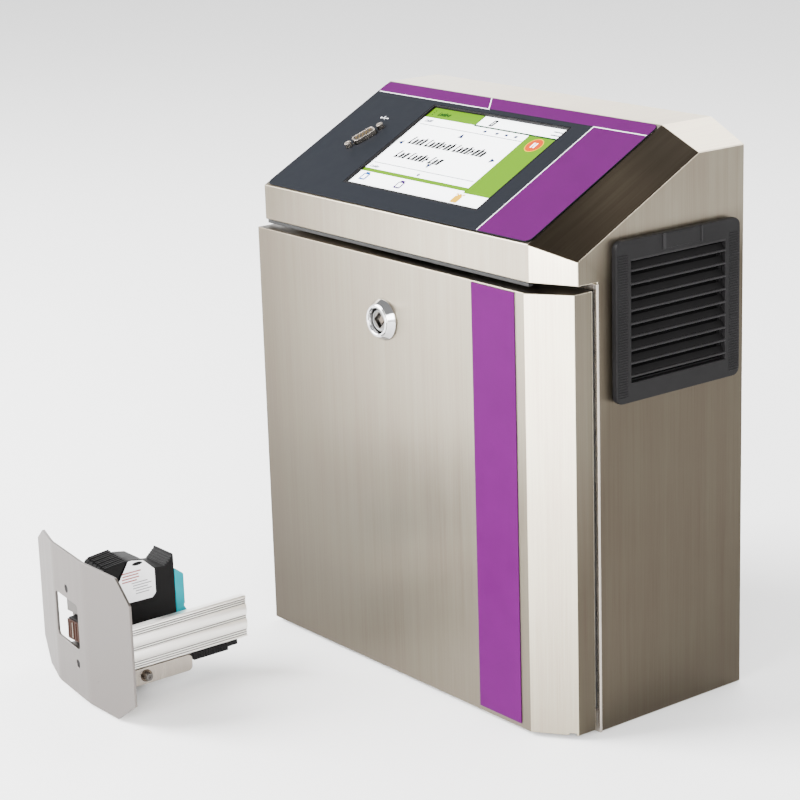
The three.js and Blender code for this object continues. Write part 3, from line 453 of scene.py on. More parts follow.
class Piece:
    """Mesh code for one piece. Shapes are in millimetres, and place puts them in the cabinet's frame."""

    def __init__(self, material, place=None):
        self.mesh = bmesh.new()
        self.place = place or Matrix.Identity(4)
        self.materials = []
        self.paint(material)

    def at(self, place):
        """The shapes that follow are written in this frame."""
        self.place = place
        return self

    def paint(self, material):
        if material not in self.materials:
            self.materials.append(material)
        self.index = self.materials.index(material)
        return self

    def _add(self, part, matrix=None):
        """Takes a finished bmesh into the piece."""
        part.transform(self.place @ (matrix or Matrix.Identity(4)))
        bmesh.ops.recalc_face_normals(part, faces=part.faces)
        for face in part.faces:
            face.material_index = self.index
        holder = bpy.data.meshes.new("part")
        part.to_mesh(holder)
        part.free()
        self.mesh.from_mesh(holder)
        bpy.data.meshes.remove(holder)
        return self

    def _round(self, part, bevel, segments, angle=30):
        if bevel:
            limit = math.radians(angle)
            edges = [e for e in part.edges if len(e.link_faces) == 2 and e.calc_face_angle(0) > limit]
            bmesh.ops.bevel(part, geom=edges, offset=bevel, segments=segments, profile=0.5, affect="EDGES")

    def block(self, low, high, bevel=0.3, segments=2):
        part = bmesh.new()
        size = [b - a for a, b in zip(low, high)]
        middle = [(a + b) / 2 for a, b in zip(low, high)]
        shape = Matrix.Translation(middle) @ Matrix.Diagonal((*size, 1))
        bmesh.ops.create_cube(part, size=1, matrix=shape)
        self._round(part, bevel, segments)
        return self._add(part)

    def prism(self, outline, low, high, axis="z", bevel=0.3, holes=(), segments=2):
        """An outline, less its holes, from low to high along axis. On axis y, low is the back."""
        part = bmesh.new()
        for loop in (outline, *holes):
            verts = [part.verts.new((a, b, 0)) for a, b in loop]
            for first, second in zip(verts, verts[1:] + verts[:1]):
                part.edges.new((first, second))
        if holes:
            bmesh.ops.triangle_fill(part, use_beauty=True, edges=part.edges)
            bmesh.ops.dissolve_limit(part, angle_limit=0.01, verts=part.verts, edges=part.edges)
        else:
            part.faces.new(part.verts)
        raised = bmesh.ops.extrude_face_region(part, geom=list(part.faces))
        lifted = [item for item in raised["geom"] if isinstance(item, bmesh.types.BMVert)]
        bmesh.ops.translate(part, verts=lifted, vec=(0, 0, high - low))
        bmesh.ops.recalc_face_normals(part, faces=part.faces)
        self._round(part, bevel, segments)
        bmesh.ops.translate(part, verts=part.verts, vec=(0, 0, low))
        return self._add(part, PLANES[axis])

    def turn(self, profile, centre, axis="z", segments=48):
        """A closed profile of (radius, height) points turned about axis through centre."""
        part = bmesh.new()
        loops = []
        for radius, height in profile:
            if radius < 1e-6:
                loops.append([part.verts.new((0, 0, height))])
            else:
                loops.append([part.verts.new((a, b, height)) for a, b in ring(0, 0, radius, segments)])
        for first, second in zip(loops, loops[1:] + (loops[:1] if len(loops[0]) > 1 else [])):
            for step in range(segments):
                following = (step + 1) % segments
                corners = [first[step % len(first)], first[following % len(first)],
                           second[following % len(second)], second[step % len(second)]]
                unique = list(dict.fromkeys(corners))
                if len(unique) > 2:
                    part.faces.new(unique)
        return self._add(part, Matrix.Translation(centre) @ PLANES[axis])

    def tube(self, points, radius, sides=10):
        """A round bar along the points."""
        part = bmesh.new()
        path = [Vector(p) for p in points]
        loops = []
        side = None
        for place, point in enumerate(path):
            ahead = path[min(place + 1, len(path) - 1)] - path[max(place - 1, 0)]
            ahead.normalize()
            side = (side or ahead.orthogonal()) - ahead * (side or ahead.orthogonal()).dot(ahead)
            side.normalize()
            other = ahead.cross(side)
            loops.append([part.verts.new(point + side * a + other * b) for a, b in ring(0, 0, radius, sides)])
        for first, second in zip(loops, loops[1:]):
            for step in range(sides):
                following = (step + 1) % sides
                part.faces.new((first[step], first[following], second[following], second[step]))
        part.faces.new(loops[0][::-1])
        part.faces.new(loops[-1])
        return self._add(part)

    def copy(self, node, bevel, angle):
        """The CAD node's own solid with its flat faces joined up and its edges rounded."""
        part = bmesh.new()
        part.from_mesh(frame["nodes"][node].data)
        bmesh.ops.scale(part, vec=(1 / MM,) * 3, verts=part.verts)
        bmesh.ops.remove_doubles(part, verts=part.verts, dist=0.002)
        bmesh.ops.dissolve_limit(part, angle_limit=math.radians(0.6), verts=part.verts, edges=part.edges)
        self._round(part, bevel, 2, angle)
        return self._add(part)

    def done(self, name, node, slot, replaces=()):
        """Makes the object, which rides on the body of that CAD node."""
        mesh = bpy.data.meshes.new(name)
        self.mesh.transform(Matrix.Scale(MM, 4))
        self.mesh.to_mesh(mesh)
        self.mesh.free()
        for material in self.materials:
            mesh.materials.append(MATERIALS[material])
        mesh.shade_smooth()
        mesh.set_sharp_from_angle(angle=math.radians(40))
        piece = bpy.data.objects.new(name, mesh)
        bpy.context.scene.collection.objects.link(piece)
        weighted = piece.modifiers.new("weighted", "WEIGHTED_NORMAL")
        weighted.keep_sharp = True
        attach(piece, frame["nodes"][node]["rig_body"])
        if replaces:
            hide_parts(*replaces)


# CAD nodes whose shape is right: each is copied with rounded edges and a finish.
# Nodes with the same finish share a line: (material, record slot, rounding).
COPIES = {
    "housing": ("steel", "steel", 0.8),
    "door": ("steel", "steel", 0.6),
    "back_plate": ("steel", "steel", 0.4),
    "door_frame": ("bright_steel", "bright_steel", 0.5),
    "sensor_socket encoder_socket rail_bracket": ("bright_steel", "bright_steel", 0.4),
    "head_socket": ("bright_steel", "bright_steel", 0.3),
    "data_connector jackscrew_upper jackscrew_lower": ("bright_steel", "bright_steel", 0.2),
    "face_plate": ("plate_steel", "zinc", 0.35),
    "display_module head_foot": ("zinc", "zinc", 0.5),
    "hinge_bracket_left hinge_bracket_right lock_nut lock_cam mounting_plate": ("zinc", "zinc", 0.4),
    "vent_pin_front vent_pin_rear": ("zinc", "zinc", 0.2),
    "clamp_washer": ("zinc", "zinc", 0.15),
    "lock_insert": ("lock_grey", "zinc", 0.3),
    "clamp_screw": ("lock_grey", "zinc", 0.2),
    "cartridge_holder": ("holder_grey", "zinc", 0.3),
    # The zinc face screws are painted near black: painted shade for their dark screw holes.
    "face_screw_upper face_screw_lower": ("vent_dark", "zinc", 0.25),
    "hinge_pin_left hinge_pin_right lock_escutcheon": ("chrome", "chrome", 0.3),
    "latch_pin": ("chrome", "chrome", 0.2),
    "power_supply": ("aluminium", "aluminium", 0.6),
    "head_rail": ("aluminium", "aluminium", 0.25),
    "door_stripe": ("purple", "purple_film", 0.15),
    "panel_overlay": ("slate", "overlay", 0.15),
    "touch_screen": ("screen_white", "screen", 0.1),
    "display_frame": ("bezel", "black_rubber", 0.25),
    "door_gasket": ("rubber", "black_rubber", 0.4),
    "vent_frame": ("vent_black", "black_plastic", 0.25),
    "cartridge_body rail_connector": ("black_plastic", "black_plastic", 0.5),
    "power_inlet switch_frame switch_rocker": ("black_plastic", "black_plastic", 0.4),
    "fan_housing fan_rotor": ("black_plastic", "black_plastic", 0.3),
    "filter_mat": ("fibre", "fibre", 0.6),
    "controller_board contact_board": ("board", "board", 0.2),
    "terminal_strip": ("terminal_grey", "terminals", 0.4),
    "cartridge_cap": ("teal", "teal", 0.5),
    "nozzle_plate": ("copper", "copper", 0.15),
}
SHALLOW_BENDS = {"housing": 24}  # sheets folded at less than the usual limit are rounded from this angle up
for nodes, (material, slot, bevel) in COPIES.items():
    for node in nodes.split():
        shape = Piece(material).copy(node, bevel, SHALLOW_BENDS.get(node, 30))
        shape.done(node + "_piece", node, slot, [node])


# ------------------------------ operator panel
FRONT = -80.5
PANEL_FOOT = 327.7
# On the panel, u runs right from the cabinet's middle, v up the slope from its foot, and height out of it.
PANEL_SLOPE = math.atan2(60.3, 116)  # its rise over its depth
PANEL = Matrix.Translation((0, FRONT, PANEL_FOOT)) @ Matrix.Rotation(PANEL_SLOPE, 4, "X")
OVERLAY_TOP = 1.0
INK = 0.05  # a printed layer stands this far out
SUNK = 0.12  # and its foot is this far in


def printed(piece, material, outline, base, layer=1, axis="z"):
    """A thin printed area on the surface at base."""
    piece.paint(material).prism(outline, base - SUNK, base + INK * layer, axis, bevel=0)


def box(a0, b0, a1, b1):
    return [(a0, b0), (a1, b0), (a1, b1), (a0, b1)]


def make_overlay_print():
    """Purple and white areas of the operator panel's film, and a plain plug sign at the connector."""
    left, right, foot, top = -154.8, 126.4, 1.7, 129.0
    band_foot, area_left, area_top = 117.5, 76.5, 116.6
    radius, quarter = 4.8, 7
    graphics = Piece("purple", PANEL)
    band = rounded_rectangle(left, band_foot, right, top, radius, quarter - 1)[quarter:-quarter]
    printed(graphics, "purple", [(right, band_foot), *band, (left, band_foot)], OVERLAY_TOP)
    area = rounded_rectangle(area_left, foot, right, area_top, radius, quarter - 1)[:quarter]
    area += [(right, area_top), (area_left, area_top), (area_left, foot)]
    printed(graphics, "purple", area, OVERLAY_TOP)
    lines = [
        box(-153, 116.8, -30, band_foot), [(-30.6, 116.8), (-29.6, 116.8), (-38.9, top), (-39.9, top)],
        box(75.7, 1.8, area_left, 117.4), box(76.0, area_top, 126.2, 117.4),
    ]
    for line in lines:
        printed(graphics, "white_print", line, OVERLAY_TOP, 1.4)
    u, v = -116.5, 89.5
    sign = [
        box(u - 3.4, v - 0.2, u + 3.0, v + 0.2), box(u - 1.1, v, u - 0.7, v + 1.4),
        box(u + 0.5, v - 1.4, u + 0.9, v), ring(u - 3.9, v, 0.8, 16),
        [(u + 2.8, v - 0.8), (u + 4.4, v), (u + 2.8, v + 0.8)], box(u - 1.4, v + 1.2, u - 0.4, v + 2.0),
    ]
    for outline in sign:
        printed(graphics, "white_print", outline, OVERLAY_TOP)
    graphics.done("overlay_print", "panel_overlay", "overlay")


make_overlay_print()

GLASS = {"left": -83.1, "top": 111.1, "width": 139.5, "height": 90.2, "face": -0.6}


def on_glass(across, down):
    """The panel's u and v at these shares of the glass, from its top left corner."""
    return GLASS["left"] + GLASS["width"] * across, GLASS["top"] - GLASS["height"] * down


def glass_box(a0, d0, a1, d1):
    """A box between two places on the glass."""
    u0, v1 = on_glass(a0, d0)
    u1, v0 = on_glass(a1, d1)
    return box(u0, v0, u1, v1)


def leaning(u, low, width, high, base):
    """A bar whose sides lean over as they rise from base."""
    lean = 0.28
    foot, head = u + lean * (low - base), u + lean * (high - base)
    return [(foot, low), (foot + width, low), (head + width, high), (head, high)]


def strokes(left, base, height, pattern, pitch):
    """Leaning strokes grouped like words. They spell nothing: pattern gives the groups' lengths."""
    shapes = []
    u = left
    for count in pattern:
        for place in range(count):
            tall = height * (1.0 if place % 3 == 0 else 0.78)
            shapes.append(leaning(u, base, pitch * 0.44, base + tall, base))
            level = base + tall * (0.0, 0.36, 0.74)[place % 3]
            shapes.append(leaning(u, level, pitch * 0.8, level + height * 0.25, base))
            if place % 4:
                shapes.append(leaning(u + pitch * 0.46, base, pitch * 0.34, base + tall * 0.8, base))
            u += pitch
        u += pitch * 0.45
    return shapes


def make_screen_picture():
    """What the display shows: menu bars, a message of plain strokes, arrows and cartridge signs."""
    picture = Piece("screen_white", PANEL)
    face = GLASS["face"]

    def show(material, outline, layer=1):
        printed(picture, material, outline, face, layer)

    def write(material, place, height, pattern, pitch, layer=1):
        for shape in strokes(*on_glass(*place), height, pattern, pitch):
            show(material, shape, layer)

    show("screen_white", glass_box(0, 0, 1, 1), 0.5)
    show("screen_lime", glass_box(0, 0, 0.39, 0.12))
    show("screen_lime", glass_box(0.80, 0.13, 1, 0.86))
    show("screen_lime", glass_box(0, 0.80, 0.81, 0.84))
    show("screen_green", glass_box(0.39, 0.113, 1, 0.13))
    show("screen_green", glass_box(0.387, 0, 0.393, 0.13), 1.5)
    write("screen_green", (0.07, 0.085), 4.0, (6,), 2.1, 1.5)
    for down in (0.035, 0.06, 0.085):
        show("screen_green", ring(*on_glass(0.032, down), 0.6, 10), 1.5)
    u, v = on_glass(0.494, 0.064)
    page = [(-2.6, -3.4), (1.6, -3.4), (2.8, 3.4), (-1.4, 3.4)]
    fold = [(-0.9, -2.2), (-0.3, -2.2), (0.7, 2.2), (0.1, 2.2)]
    show("screen_black", [(u + a, v + b) for a, b in page])
    show("screen_white", [(u + a, v + b) for a, b in fold], 1.5)
    show("screen_grey", glass_box(0.925, 0.035, 0.985, 0.048))
    show("screen_grey", glass_box(0.925, 0.075, 0.99, 0.088))
    write("screen_blue", (0.03, 0.175), 3.2, (4,), 1.9)
    show("screen_grey", glass_box(0.02, 0.205, 0.80, 0.212))
    show("screen_grey", glass_box(0.02, 0.72, 0.785, 0.727))
    for across in (0.50, 0.59, 0.66, 0.73):
        u, v = on_glass(across, 0.17)
        show("screen_blue", rounded_rectangle(u - 1.5, v - 1.1, u + 1.5, v + 1.1, 0.6, 3))
    write("screen_black", (0.085, 0.455), 8.4, (4, 7, 8), 4.05)
    write("screen_black", (0.10, 0.63), 8.0, (3, 5, 3), 4.1)
    arrows = {(0.386, 0.263): (0, 1), (0.039, 0.454): (-1, 0), (0.755, 0.47): (1, 0), (0.394, 0.659): (0, -1)}
    for place, aim in arrows.items():
        centre, ahead = Vector(on_glass(*place)), 2.4 * Vector(aim)
        side = Vector((-ahead.y, ahead.x))
        show("screen_blue", [centre + ahead, centre - ahead + side, centre - ahead - side])
    write("screen_grey", (0.02, 0.785), 2.6, (5,), 2.0)
    u, v = on_glass(0.40, 0.77)
    show("screen_grey", ring(u, v, 1.4, 16))
    u, v = on_glass(0.898, 0.225)
    show("screen_yellow", ring(u, v, 7.2, 32), 1.5)
    show("screen_orange", ring(u, v, 6.5, 32), 2)
    for bar in (-1.9, 0.7):
        show("screen_white", box(u + bar, v - 2.6, u + bar + 1.2, v + 2.6), 3)
    signs = {"screen_sky": (0.067, 0.90), "screen_violet": (0.354, 0.915), "screen_yellow": (0.80, 0.935)}
    for material, place in signs.items():
        u, v = on_glass(*place)
        show(material, rounded_rectangle(u - 3.4, v - 3.8, u + 3.4, v + 3.2, 0.8, 3), 1.5)
        show(material, box(u - 2.2, v + 3.0, u + 2.2, v + 4.6), 1.5)
        if material == "screen_yellow":
            for dot in (-3.2, 0, 3.2):
                show(material, box(u + dot - 0.9, v + 4.2, u + dot + 0.9, v + 5.4), 2)
        else:
            show("screen_white", box(u - 2.0, v - 2.4, u + 1.9, v + 2.2), 2)
    picture.done("screen_picture", "touch_screen", "screen")


make_screen_picture()


def make_connector_contacts():
    """The panel connector's insulator and its two rows of contacts."""
    place = PANEL @ Matrix.Translation((-113.5, 66.5, 0)) @ Matrix.Rotation(math.radians(-20), 4, "Z")
    contacts = Piece("brown_metal", place)
    contacts.prism(rounded_rectangle(-3.3, -7.4, 3.3, 7.4, 1.6), 2.9, 3.6, bevel=0.15)
    contacts.paint("gold")
    for across, rows in ((-1.3, (-5.6, -2.8, 0, 2.8, 5.6)), (1.3, (-4.2, -1.4, 1.4, 4.2))):
        for along in rows:
            contacts.tube([(across, along, 3.3), (across, along, 4.0)], 0.55, 10)
    contacts.done("connector_contacts", "data_connector", "bright_steel")


make_connector_contacts()


# ------------------------------ door and lock
def make_lock_detail():
    """The lock's raised rim, the ring round its insert and the square post that the key turns."""
    x, z = -13.25, 256  # the lock's middle
    rim = Piece("chrome")
    rim.turn([(9.0, 0), (9.0, 1.0), (9.5, 1.35), (10.4, 1.35), (10.9, 1.0), (10.9, 0)], (x, -92.9, z), "y")
    rim.done("lock_rim", "lock_escutcheon", "chrome")
    key = Piece("brown_metal")
    square = [(x + 3.0 * a, z + 3.0 * b) for a, b in ((0, -1), (1, 0), (0, 1), (-1, 0))]
    key.prism(square, 88.4, 89.6, "y", 0.2)
    collar = [(5.9, 0), (5.9, 0.3), (6.3, 0.5), (6.9, 0.5), (7.2, 0.2), (7.2, 0)]
    key.paint("zinc").turn(collar, (x, -91.2, z), "y")
    key.done("lock_key_post", "lock_insert", "zinc")


make_lock_detail()


def make_hood_shadow_strip():
    """A black rubber strip under the hood's front edge, which the closed door's top return sits below:
    painted shade for the hood's shadow over the door's top.
    """
    seal = Piece("rubber")
    foot, top = 300.2, 303.1
    # Painted shade: a black strip where the hood shades the top of the door.
    seal.block((-155.8, FRONT + 1.2, foot), (126, FRONT + 5.4, top), 0.5)
    seal.done("hood_shadow_strip", "housing", "black_rubber")


make_hood_shadow_strip()


# ------------------------------ filter fan cover
def make_vent_cover():
    """The fan's cover: frame, slats with rounded lips, ridged sides and the catch's finger recess."""
    back, face = 159.1, 163.5
    middle, half, foot, top = 15.5, 55, 222.0, 328
    slats, first_slat, pitch = 10, 316.3, 8.6
    left, right = middle - 42, middle + 42
    cover = Piece("vent_black")
    opening = box(left, 235, right, 315)
    edge = rounded_rectangle(middle - half, foot, middle + half, top, 5.5)
    cover.prism(edge, back, face, "x", 0.7, [opening])
    cover.block((back + 1, middle - 14, 317.6), (face + 0.35, middle + 19, 327.2), 0.3)
    for ridge in range(55):
        z = foot + 4 + ridge * 1.7
        for low, high in ((1.2 - half, 9.8 - half), (half - 9.8, half - 1.2)):
            cover.block((face - 0.3, middle + low, z), (face + 0.4, middle + high, z + 0.8), 0.2, 1)
    # Painted shade: the slats take a darker copy of the cover's black, for the shade between the lips.
    cover.paint("vent_dark")
    for row in range(1, slats):
        z = first_slat - row * pitch
        section = [(back + 0.2, z + 4.6), (back + 0.2, z + 3.6), (face - 1.4, z - 0.6), (face - 1.0, z + 0.6)]
        cover.prism(section, -right - 0.5, -left + 0.5, "y", 0.1, segments=1)
    # Painted highlight: the lips take a lighter copy of the cover's black.
    cover.paint("vent_lip")
    for row in range(slats):
        z = first_slat - row * pitch - (1.6 if row == 0 else 0)
        cover.tube([(face - 0.9, left - 0.3, z), (face - 0.9, right + 0.3, z)], 0.85, 12)
    for y, width in ((-14.6, 2.2), (19.2, 0.9)):
        cover.block((face - 0.2, middle + y, 317.4), (face + 0.9, middle + y + width, 327.6), 0.3)
    cover.done("vent_cover_piece", "vent_cover", "black_plastic", ["vent_cover"])


make_vent_cover()


# ------------------------------ print head
HEAD = Matrix.Translation((-110, -277.5, 0))
CARTRIDGE_SIDE = -10.5


def make_cartridge_label():
    """A white label on the cartridge's side with plain bars for its lines."""
    label = Piece("paper", HEAD)
    edge = [(30.5, 61.2), (61.2, 60.6), (64.2, 63.4), (64.2, 81.0), (55.4, 89.3), (46, 91.1), (43.3, 91.1),
            (40.3, 86.1), (35.9, 79.1), (31.3, 74.6)]
    side = CARTRIDGE_SIDE
    label.prism(edge, side - 0.1, side + 0.15, "x", 0.04, segments=1)
    label.paint("black_plastic").prism(ring(50.4, 88.1, 4.2, height=1.3), side, side + 0.25, "x", 0)
    label.paint("red_ink")
    for row, (start, length) in enumerate(((38, 15), (38, 13), (37.5, 14), (37.5, 12))):
        z = 82.4 - row * 2.1
        label.prism(box(start, z, start + length, z + 0.9), side, side + 0.22, "x", 0)
    label.paint("grey_ink")
    for row, (start, length) in enumerate(((45, 13), (46, 15), (46, 12), (48, 13), (48, 11))):
        z = 74.2 - row * 2.0
        label.prism(box(start, z, start + length, z + 0.6), side, side + 0.22, "x", 0)
    label.done("cartridge_label", "cartridge_body", "black_plastic")


def make_grips():
    """Grip ribs on the cartridge's rear shoulder and thumb ribs on the latch lever."""
    grip = Piece("black_plastic", HEAD)
    left, right = -34.4, -11.1
    for rib in range(5):
        y, z = 73.6 + rib * 1.45, 81.5 + rib * 1.3
        grip.tube([(left, y, z), (right, y, z)], 0.55, 10)
    grip.block((left, 79.0, 86.4), (right, 80.3, 88.1), 0.4)
    grip.done("cartridge_grip", "cartridge_body", "black_plastic")
    thumb = Piece("black_plastic", HEAD)
    steps, start = 5, -34.6
    width = 23.7 / steps
    under = [(18.5, 84), (18.5, 77.2), (22, 75.8), (29.5, 76), (34.6, 80.2), (38.8, 86.2), (41.3, 90)]
    for step in range(steps):
        top = 93.6 - step * 0.6
        x = start + step * width
        thumb.prism([*under, (42, top), (24, top - 2)], x, x + width + 0.05, "x", 0.3)
        for share in (0.14, 0.62):
            rib = [(25, top - 2.0), (41.9, top - 0.2), (41.9, top + 0.9 - 0.5 * share), (25, top - 0.9)]
            x = start + (step + share) * width
            thumb.prism(rib, x, x + width * 0.3, "x", 0.2)
    thumb.done("latch_lever_piece", "latch_lever", "black_plastic", ["latch_lever"])


def make_cap_detail():
    """The teal cap's raised edges, and a dark rubber patch at its top that is painted shade."""
    cap = Piece("teal", HEAD)
    for x in (-34.2, -12.4):
        cap.block((x, 86.9, 49), (x + 1.6, 88.0, 71.5), 0.3)
    slant = Matrix.Rotation(math.atan2(-5, 6.8), 4, "X")
    cap.at(HEAD @ Matrix.Translation((-22.75, 84, 74.5)) @ slant)
    # Painted shade: a flat dark patch on the cap's sloped top.
    cap.paint("rubber").block((-9, -2.6, -0.4), (8.5, 2.4, 0.2), 0.15)
    cap.done("cap_detail", "cartridge_cap", "teal")


def make_nozzle_detail():
    """Ridges of the flexible circuit either side of the nozzle columns."""
    nozzle = Piece("copper", HEAD)
    for x in (-32.6, -29.4, -26.2, -23.0, -19.8, -16.6):
        nozzle.tube([(x, 6.2, 39.2), (x, 6.2, 51.9)], 0.5, 10)
    nozzle.paint("brown_metal").block((-28.6, 5.95, 40), (-27.1, 6.4, 51.2), 0.1)
    nozzle.done("nozzle_columns", "nozzle_plate", "copper")


def make_rail_profile():
    """Two convex bands down the rail's right side, and dark strips on the floors of its fine grooves: painted
    shade.
    """
    rail = Piece("aluminium", HEAD)
    front, back, side = 3.6, 121.9, 15.0
    for low, high in ((28.8, 36.3), (39.2, 47.1)):
        middle, half = (low + high) / 2, (high - low) / 2
        arc = [(side - 0.4, low), (side - 0.4, high)]
        for step in range(9):
            turn = math.pi * step / 8
            arc.append((side - 0.05 + 0.85 * math.sin(turn), middle + half * math.cos(turn)))
        rail.prism(arc, -back, -front, "y", 0)
    # Painted shade: dark strips on the groove floors.
    rail.paint("dark_steel")
    for z in (24.3, 26.0, 27.7, 36.6, 38.2, 47.4, 49.0, 50.6):
        rail.block((side - 1.1, front + 0.1, z - 0.34), (side - 0.55, back - 0.1, z + 0.34), 0)
    rail.done("rail_bands", "head_rail", "aluminium")


def make_head_connector():
    """Ribs down the sides of the connector box under the rail."""
    ribs = Piece("black_plastic", HEAD)
    for rib in range(13):
        y = 78.2 + rib * 2.15
        ribs.block((13.7, y, 16.8), (14.5, y + 1.1, 21.8), 0.2, 1)
    ribs.done("connector_ribs", "rail_connector", "black_plastic")


def make_clamp_detail():
    """Dished washer and socket head of the bracket's clamp screw."""
    clamp = Piece("lock_grey", HEAD)
    centre = (16.2, 37, 16.4)
    clamp.turn([(1.5, 0), (1.5, 2.6), (1.9, 3.0), (2.6, 3.0), (2.95, 2.6), (2.95, 0)], centre, "x", 40)
    clamp.paint("brown_metal")
    clamp.turn([(2.6, -1.0), (2.6, 0.1), (3.9, 0.1), (4.3, -0.4), (4.3, -1.0)], centre, "x", 40)
    clamp.done("clamp_head", "clamp_screw", "zinc")


make_cartridge_label()
make_grips()
make_cap_detail()
make_nozzle_detail()
make_rail_profile()
make_head_connector()
make_clamp_detail()


# ------------------------------ back and left side
def screw_head(piece, place, axis, radius=3.6):
    """A domed cross-head screw seated at place. It faces +Y when axis is X, and -X when axis is Y."""
    piece.at(Matrix.Translation(place) @ Matrix.Rotation(math.radians(-90), 4, axis)).paint("zinc")
    dome = [(0, -0.4), (radius, -0.4), (radius, 0.5), (radius * 0.8, 1.3), (radius * 0.4, 1.6), (0, 1.65)]
    piece.turn(dome, (0, 0, 0))
    reach, half = radius * 0.55, 0.35
    # Painted shade: the cross recess is two flush dark bars.
    piece.paint("dark_steel")
    piece.block((-reach, -half, 1.2), (reach, half, 1.75), 0.05)
    piece.block((-half, -reach, 1.2), (half, reach, 1.75), 0.05)


def make_back_screws():
    """Screws round the back plate's edge. The top right one is lower, clear of the folded corner."""
    screws = Piece("zinc")
    row = [(x, z) for x in (-146, -50, 50, 120) for z in (12, 374 if x < 100 else 366)]
    for x, z in row + [(x, z) for x in (-146, 146) for z in (110, 240)]:
        screw_head(screws, (x, 80.2, z), "X")
    screws.done("back_screws", "back_plate", "steel")


def make_socket_detail():
    """Pins, blades and fixing screws of the sockets in the left side."""
    left, middle = -157.0, 3.5
    round_sockets = (96, 120)
    pins = Piece("gold")
    for column, count in ((-1.9, 12), (1.9, 13)):
        y = middle + column
        for place in range(count):
            z = 50 + (place - (count - 1) / 2) * 2.3
            pins.tube([(left - 8.6, y, z), (left - 7.9, y, z)], 0.5, 8)
    for z in round_sockets:
        for y, height in ring(middle, z, 3, 5):
            pins.tube([(left - 11.2, y, height), (left - 9.8, y, height)], 0.6, 10)
    pins.paint("bright_steel")
    for z in (28, 72):
        pins.at(Matrix.Translation((left - 2.4, middle, z)) @ Matrix.Rotation(math.radians(-90), 4, "Y"))
        pins.prism(ring(0, 0, 3.2, 6), 0, 3.2, bevel=0.3)
        pins.at(Matrix.Identity(4))
    pins.done("socket_pins", "head_socket", "bright_steel")
    nuts = Piece("bright_steel")
    for z in round_sockets:
        hexagon, bore = ring(middle, z, 8.9, 6), ring(middle, z, 6.2, 32)
        nuts.prism(hexagon, left - 4.6, left - 2.3, "x", 0.5, [bore])
    nuts.done("socket_nuts", "sensor_socket", "bright_steel")
    blades = Piece("bright_steel")
    for y, z in ((43.5, 52), (38.6, 43), (48.4, 43)):
        blades.block((left + 1, y - 1, z - 2.2), (left + 13.2, y + 1, z + 2.2), 0.3)
    blades.paint("zinc")
    for z in (26, 66):
        screw_head(blades, (left - 2.4, 43.5, z), "Y", 2.4)
    blades.done("inlet_blades", "power_inlet", "black_plastic")


make_back_screws()
make_socket_detail()


# ------------------------------ inside the cabinet
BOARD_FACE = FRONT + 138.4
SUPPLY_FACE = FRONT + 106
TERMINAL_PITCH = 10.5
WIRE_RADIUS = 1.3


def make_board_parts():
    """Chips, capacitors, a heat sink and connectors on the controller board."""
    y = BOARD_FACE
    parts = Piece("black_plastic")
    chips = ((68, 200, 16, 16), (82, 150, 10, 14), (6, 160, 8, 12), (62, 46, 14, 8), (70, 228, 22, 10))
    for x, z, width, height in chips:
        parts.block((x, y - 1.8, z), (x + width, y + 0.2, z + height), 0.3)
    parts.paint("aluminium")
    for x, z in ((66, 130), (76, 130), (86, 134), (66, 142), (20, 136)):
        parts.turn([(0, -0.2), (3.8, -0.2), (3.8, 9.5), (3.3, 10), (0, 10)], (x, y, z), "y", 24)
    for fin in range(9):
        x = 21.5 + fin * 4.4
        parts.block((x, y - 17.5, 151), (x + 1.6, y - 11, 189), 0.3)
    parts.paint("paper")
    for z in (210, 218, 226):
        parts.block((46, y - 6, z), (60, y + 0.2, z + 6), 0.4)
    parts.done("board_parts", "controller_board", "board")


def make_supply_detail():
    """Dark discs on the supply's face, painted shade standing for its vent holes, and the terminals' screws
    and levers.
    """
    # Painted shade: flat dark discs, not holes.
    cover = Piece("dark_steel")
    for column in range(9):
        for row in range(11):
            x, z = -120 + column * 10, 46 + row * 11
            cover.turn([(0, 0), (2.6, 0), (2.6, 0.25), (0, 0.25)], (x, SUPPLY_FACE, z), "y", 16)
    cover.done("supply_vents", "power_supply", "aluminium")
    levers = Piece("terminal_grey")
    for place in range(9):
        x = -126 + place * TERMINAL_PITCH
        levers.paint("wire_grey").block((x + 2.2, 26.6, 244), (x + 7.3, 28.2, 256), 0.4)
        screw = [(0, -0.3), (2.0, -0.3), (2.0, 0.7), (0, 0.9)]
        levers.paint("zinc").turn(screw, (x + 4.75, 27.2, 233), "y", 20)
    levers.done("terminal_levers", "terminal_strip", "terminals")


def smooth_path(points, steps=6):
    """A Catmull-Rom curve through the points."""
    path = [Vector(p) for p in points]
    curve = []
    for place in range(len(path) - 1):
        before, after = path[max(place - 1, 0)], path[min(place + 2, len(path) - 1)]
        first, second = path[place], path[place + 1]
        for step in range(steps):
            t = step / steps
            a = 2 * first
            b = second - before
            c = 2 * before - 5 * first + 4 * second - after
            d = 3 * first - before - 3 * second + after
            curve.append(0.5 * (a + b * t + c * t * t + d * t * t * t))
    curve.append(path[-1])
    return curve


def make_wiring():
    """Wires from the terminals down to the supply and across to the board."""
    colours = ("wire_red", "wire_blue", "wire_grey")
    loom = Piece("wire_red")
    for place in range(9):
        x = -121.25 + place * TERMINAL_PITCH
        if place < 6:
            loom.paint(colours[place % 3])
            route = [(x, 30, 219), (x, 30, 205), (x + 4, 33, 196), (x + 6, 36, 185.5)]
        else:
            turn = place - 6
            loom.paint(colours[2 - turn])
            route = [
                (x, 30, 219), (x + 2, 30, 208), (x + 24 - 4 * turn, 32, 202 - turn * 3),
                (-12, 40, 200 - turn * 4), (-2.5 + turn, 50, 204 + turn * 8), (3 + turn, 50, 206 + turn * 8),
            ]
        loom.tube(smooth_path(route), WIRE_RADIUS)
    loom.done("wiring", "terminal_strip", "terminals")


make_board_parts()
make_supply_detail()
make_wiring()


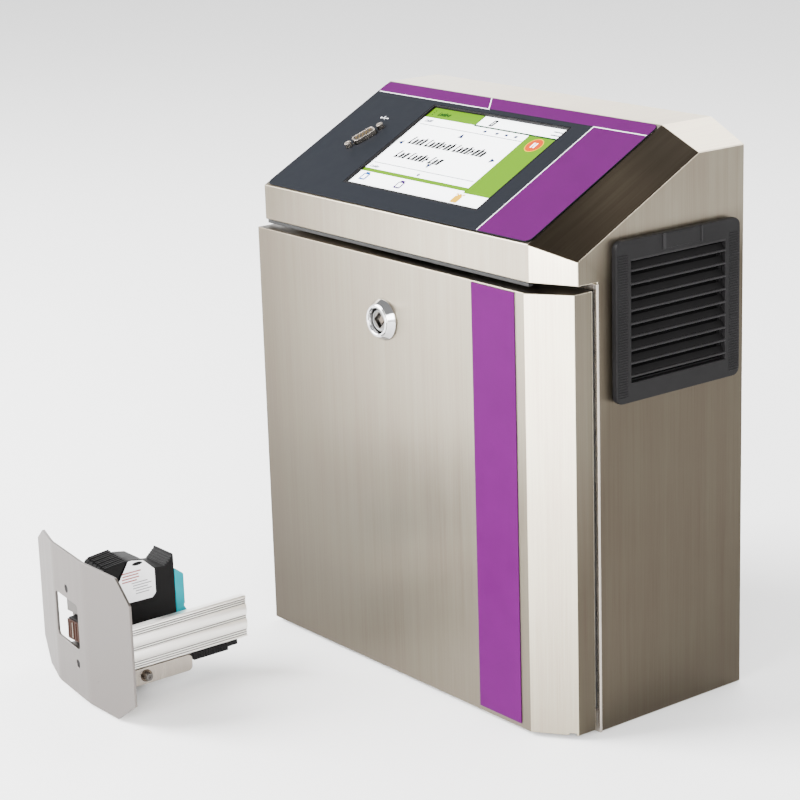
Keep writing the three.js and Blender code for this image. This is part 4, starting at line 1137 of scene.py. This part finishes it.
# ------------------------------ stage
def make_stage():
    """A plain pale floor, half a millimetre under the feet."""
    floor = bpy.data.meshes.new("floor")
    low = CAD_BOX[0][2] - 0.0005
    reach = 12
    corners = [(-reach, -reach, low), (reach, -reach, low), (reach, reach, low), (-reach, reach, low)]
    floor.from_pydata(corners, [], [(0, 1, 2, 3)])
    ground = Shader("floor", (0.93, 0.93, 0.93), 0.7)
    ground.roughness(ground.spread(ground.noise(ground.place, 6), 0.65, 0.75))
    floor.materials.append(ground.material)
    piece = bpy.data.objects.new("floor", floor)
    bpy.context.scene.collection.objects.link(piece)


def softbox(name, place, target, size, power):
    """A rectangular studio light that faces target."""
    data = bpy.data.lights.new(name, "AREA")
    data.shape = "RECTANGLE"
    data.size, data.size_y = size
    data.energy = power
    light = bpy.data.objects.new(name, data)
    bpy.context.scene.collection.objects.link(light)
    direction = Vector(place) - Vector(target)
    light.matrix_world = Matrix.Translation(place) @ direction.to_track_quat("Z", "Y").to_matrix().to_4x4()


def make_world():
    """Studio surroundings: white from the horizon to a third of the way up, dark overhead."""
    world = bpy.data.worlds.new("studio")
    bpy.context.scene.world = world
    world.use_nodes = True
    tree = world.node_tree
    background = tree.nodes["Background"]
    coordinates = tree.nodes.new("ShaderNodeTexCoord")
    split = tree.nodes.new("ShaderNodeSeparateXYZ")
    ramp = tree.nodes.new("ShaderNodeValToRGB")
    tree.links.new(coordinates.outputs["Generated"], split.inputs[0])
    tree.links.new(split.outputs[2], ramp.inputs[0])
    tree.links.new(ramp.outputs[0], background.inputs["Color"])
    for stop, position, tone in zip(ramp.color_ramp.elements, (0.42, 0.58), (1.0, 0.12)):
        stop.position = position
        stop.color = (tone, tone, tone, 1)
    background.inputs["Strength"].default_value = 4.4


make_stage()
make_world()
softbox("key", (-1.6, -1.9, 1.7), (0, 0, 0.2), (1.8, 1.8), 380)
softbox("front", (0.55, -2.1, 0.45), (0.1, 0, 0.2), (0.8, 0.9), 70)
softbox("top", (-0.54, 1.2, 1.9), (0, 0, 0.3), (1.6, 1.2), 40)
softbox("fill", (2.0, -1.5, 1.1), (0, 0, 0.2), (1.2, 1.2), 75)
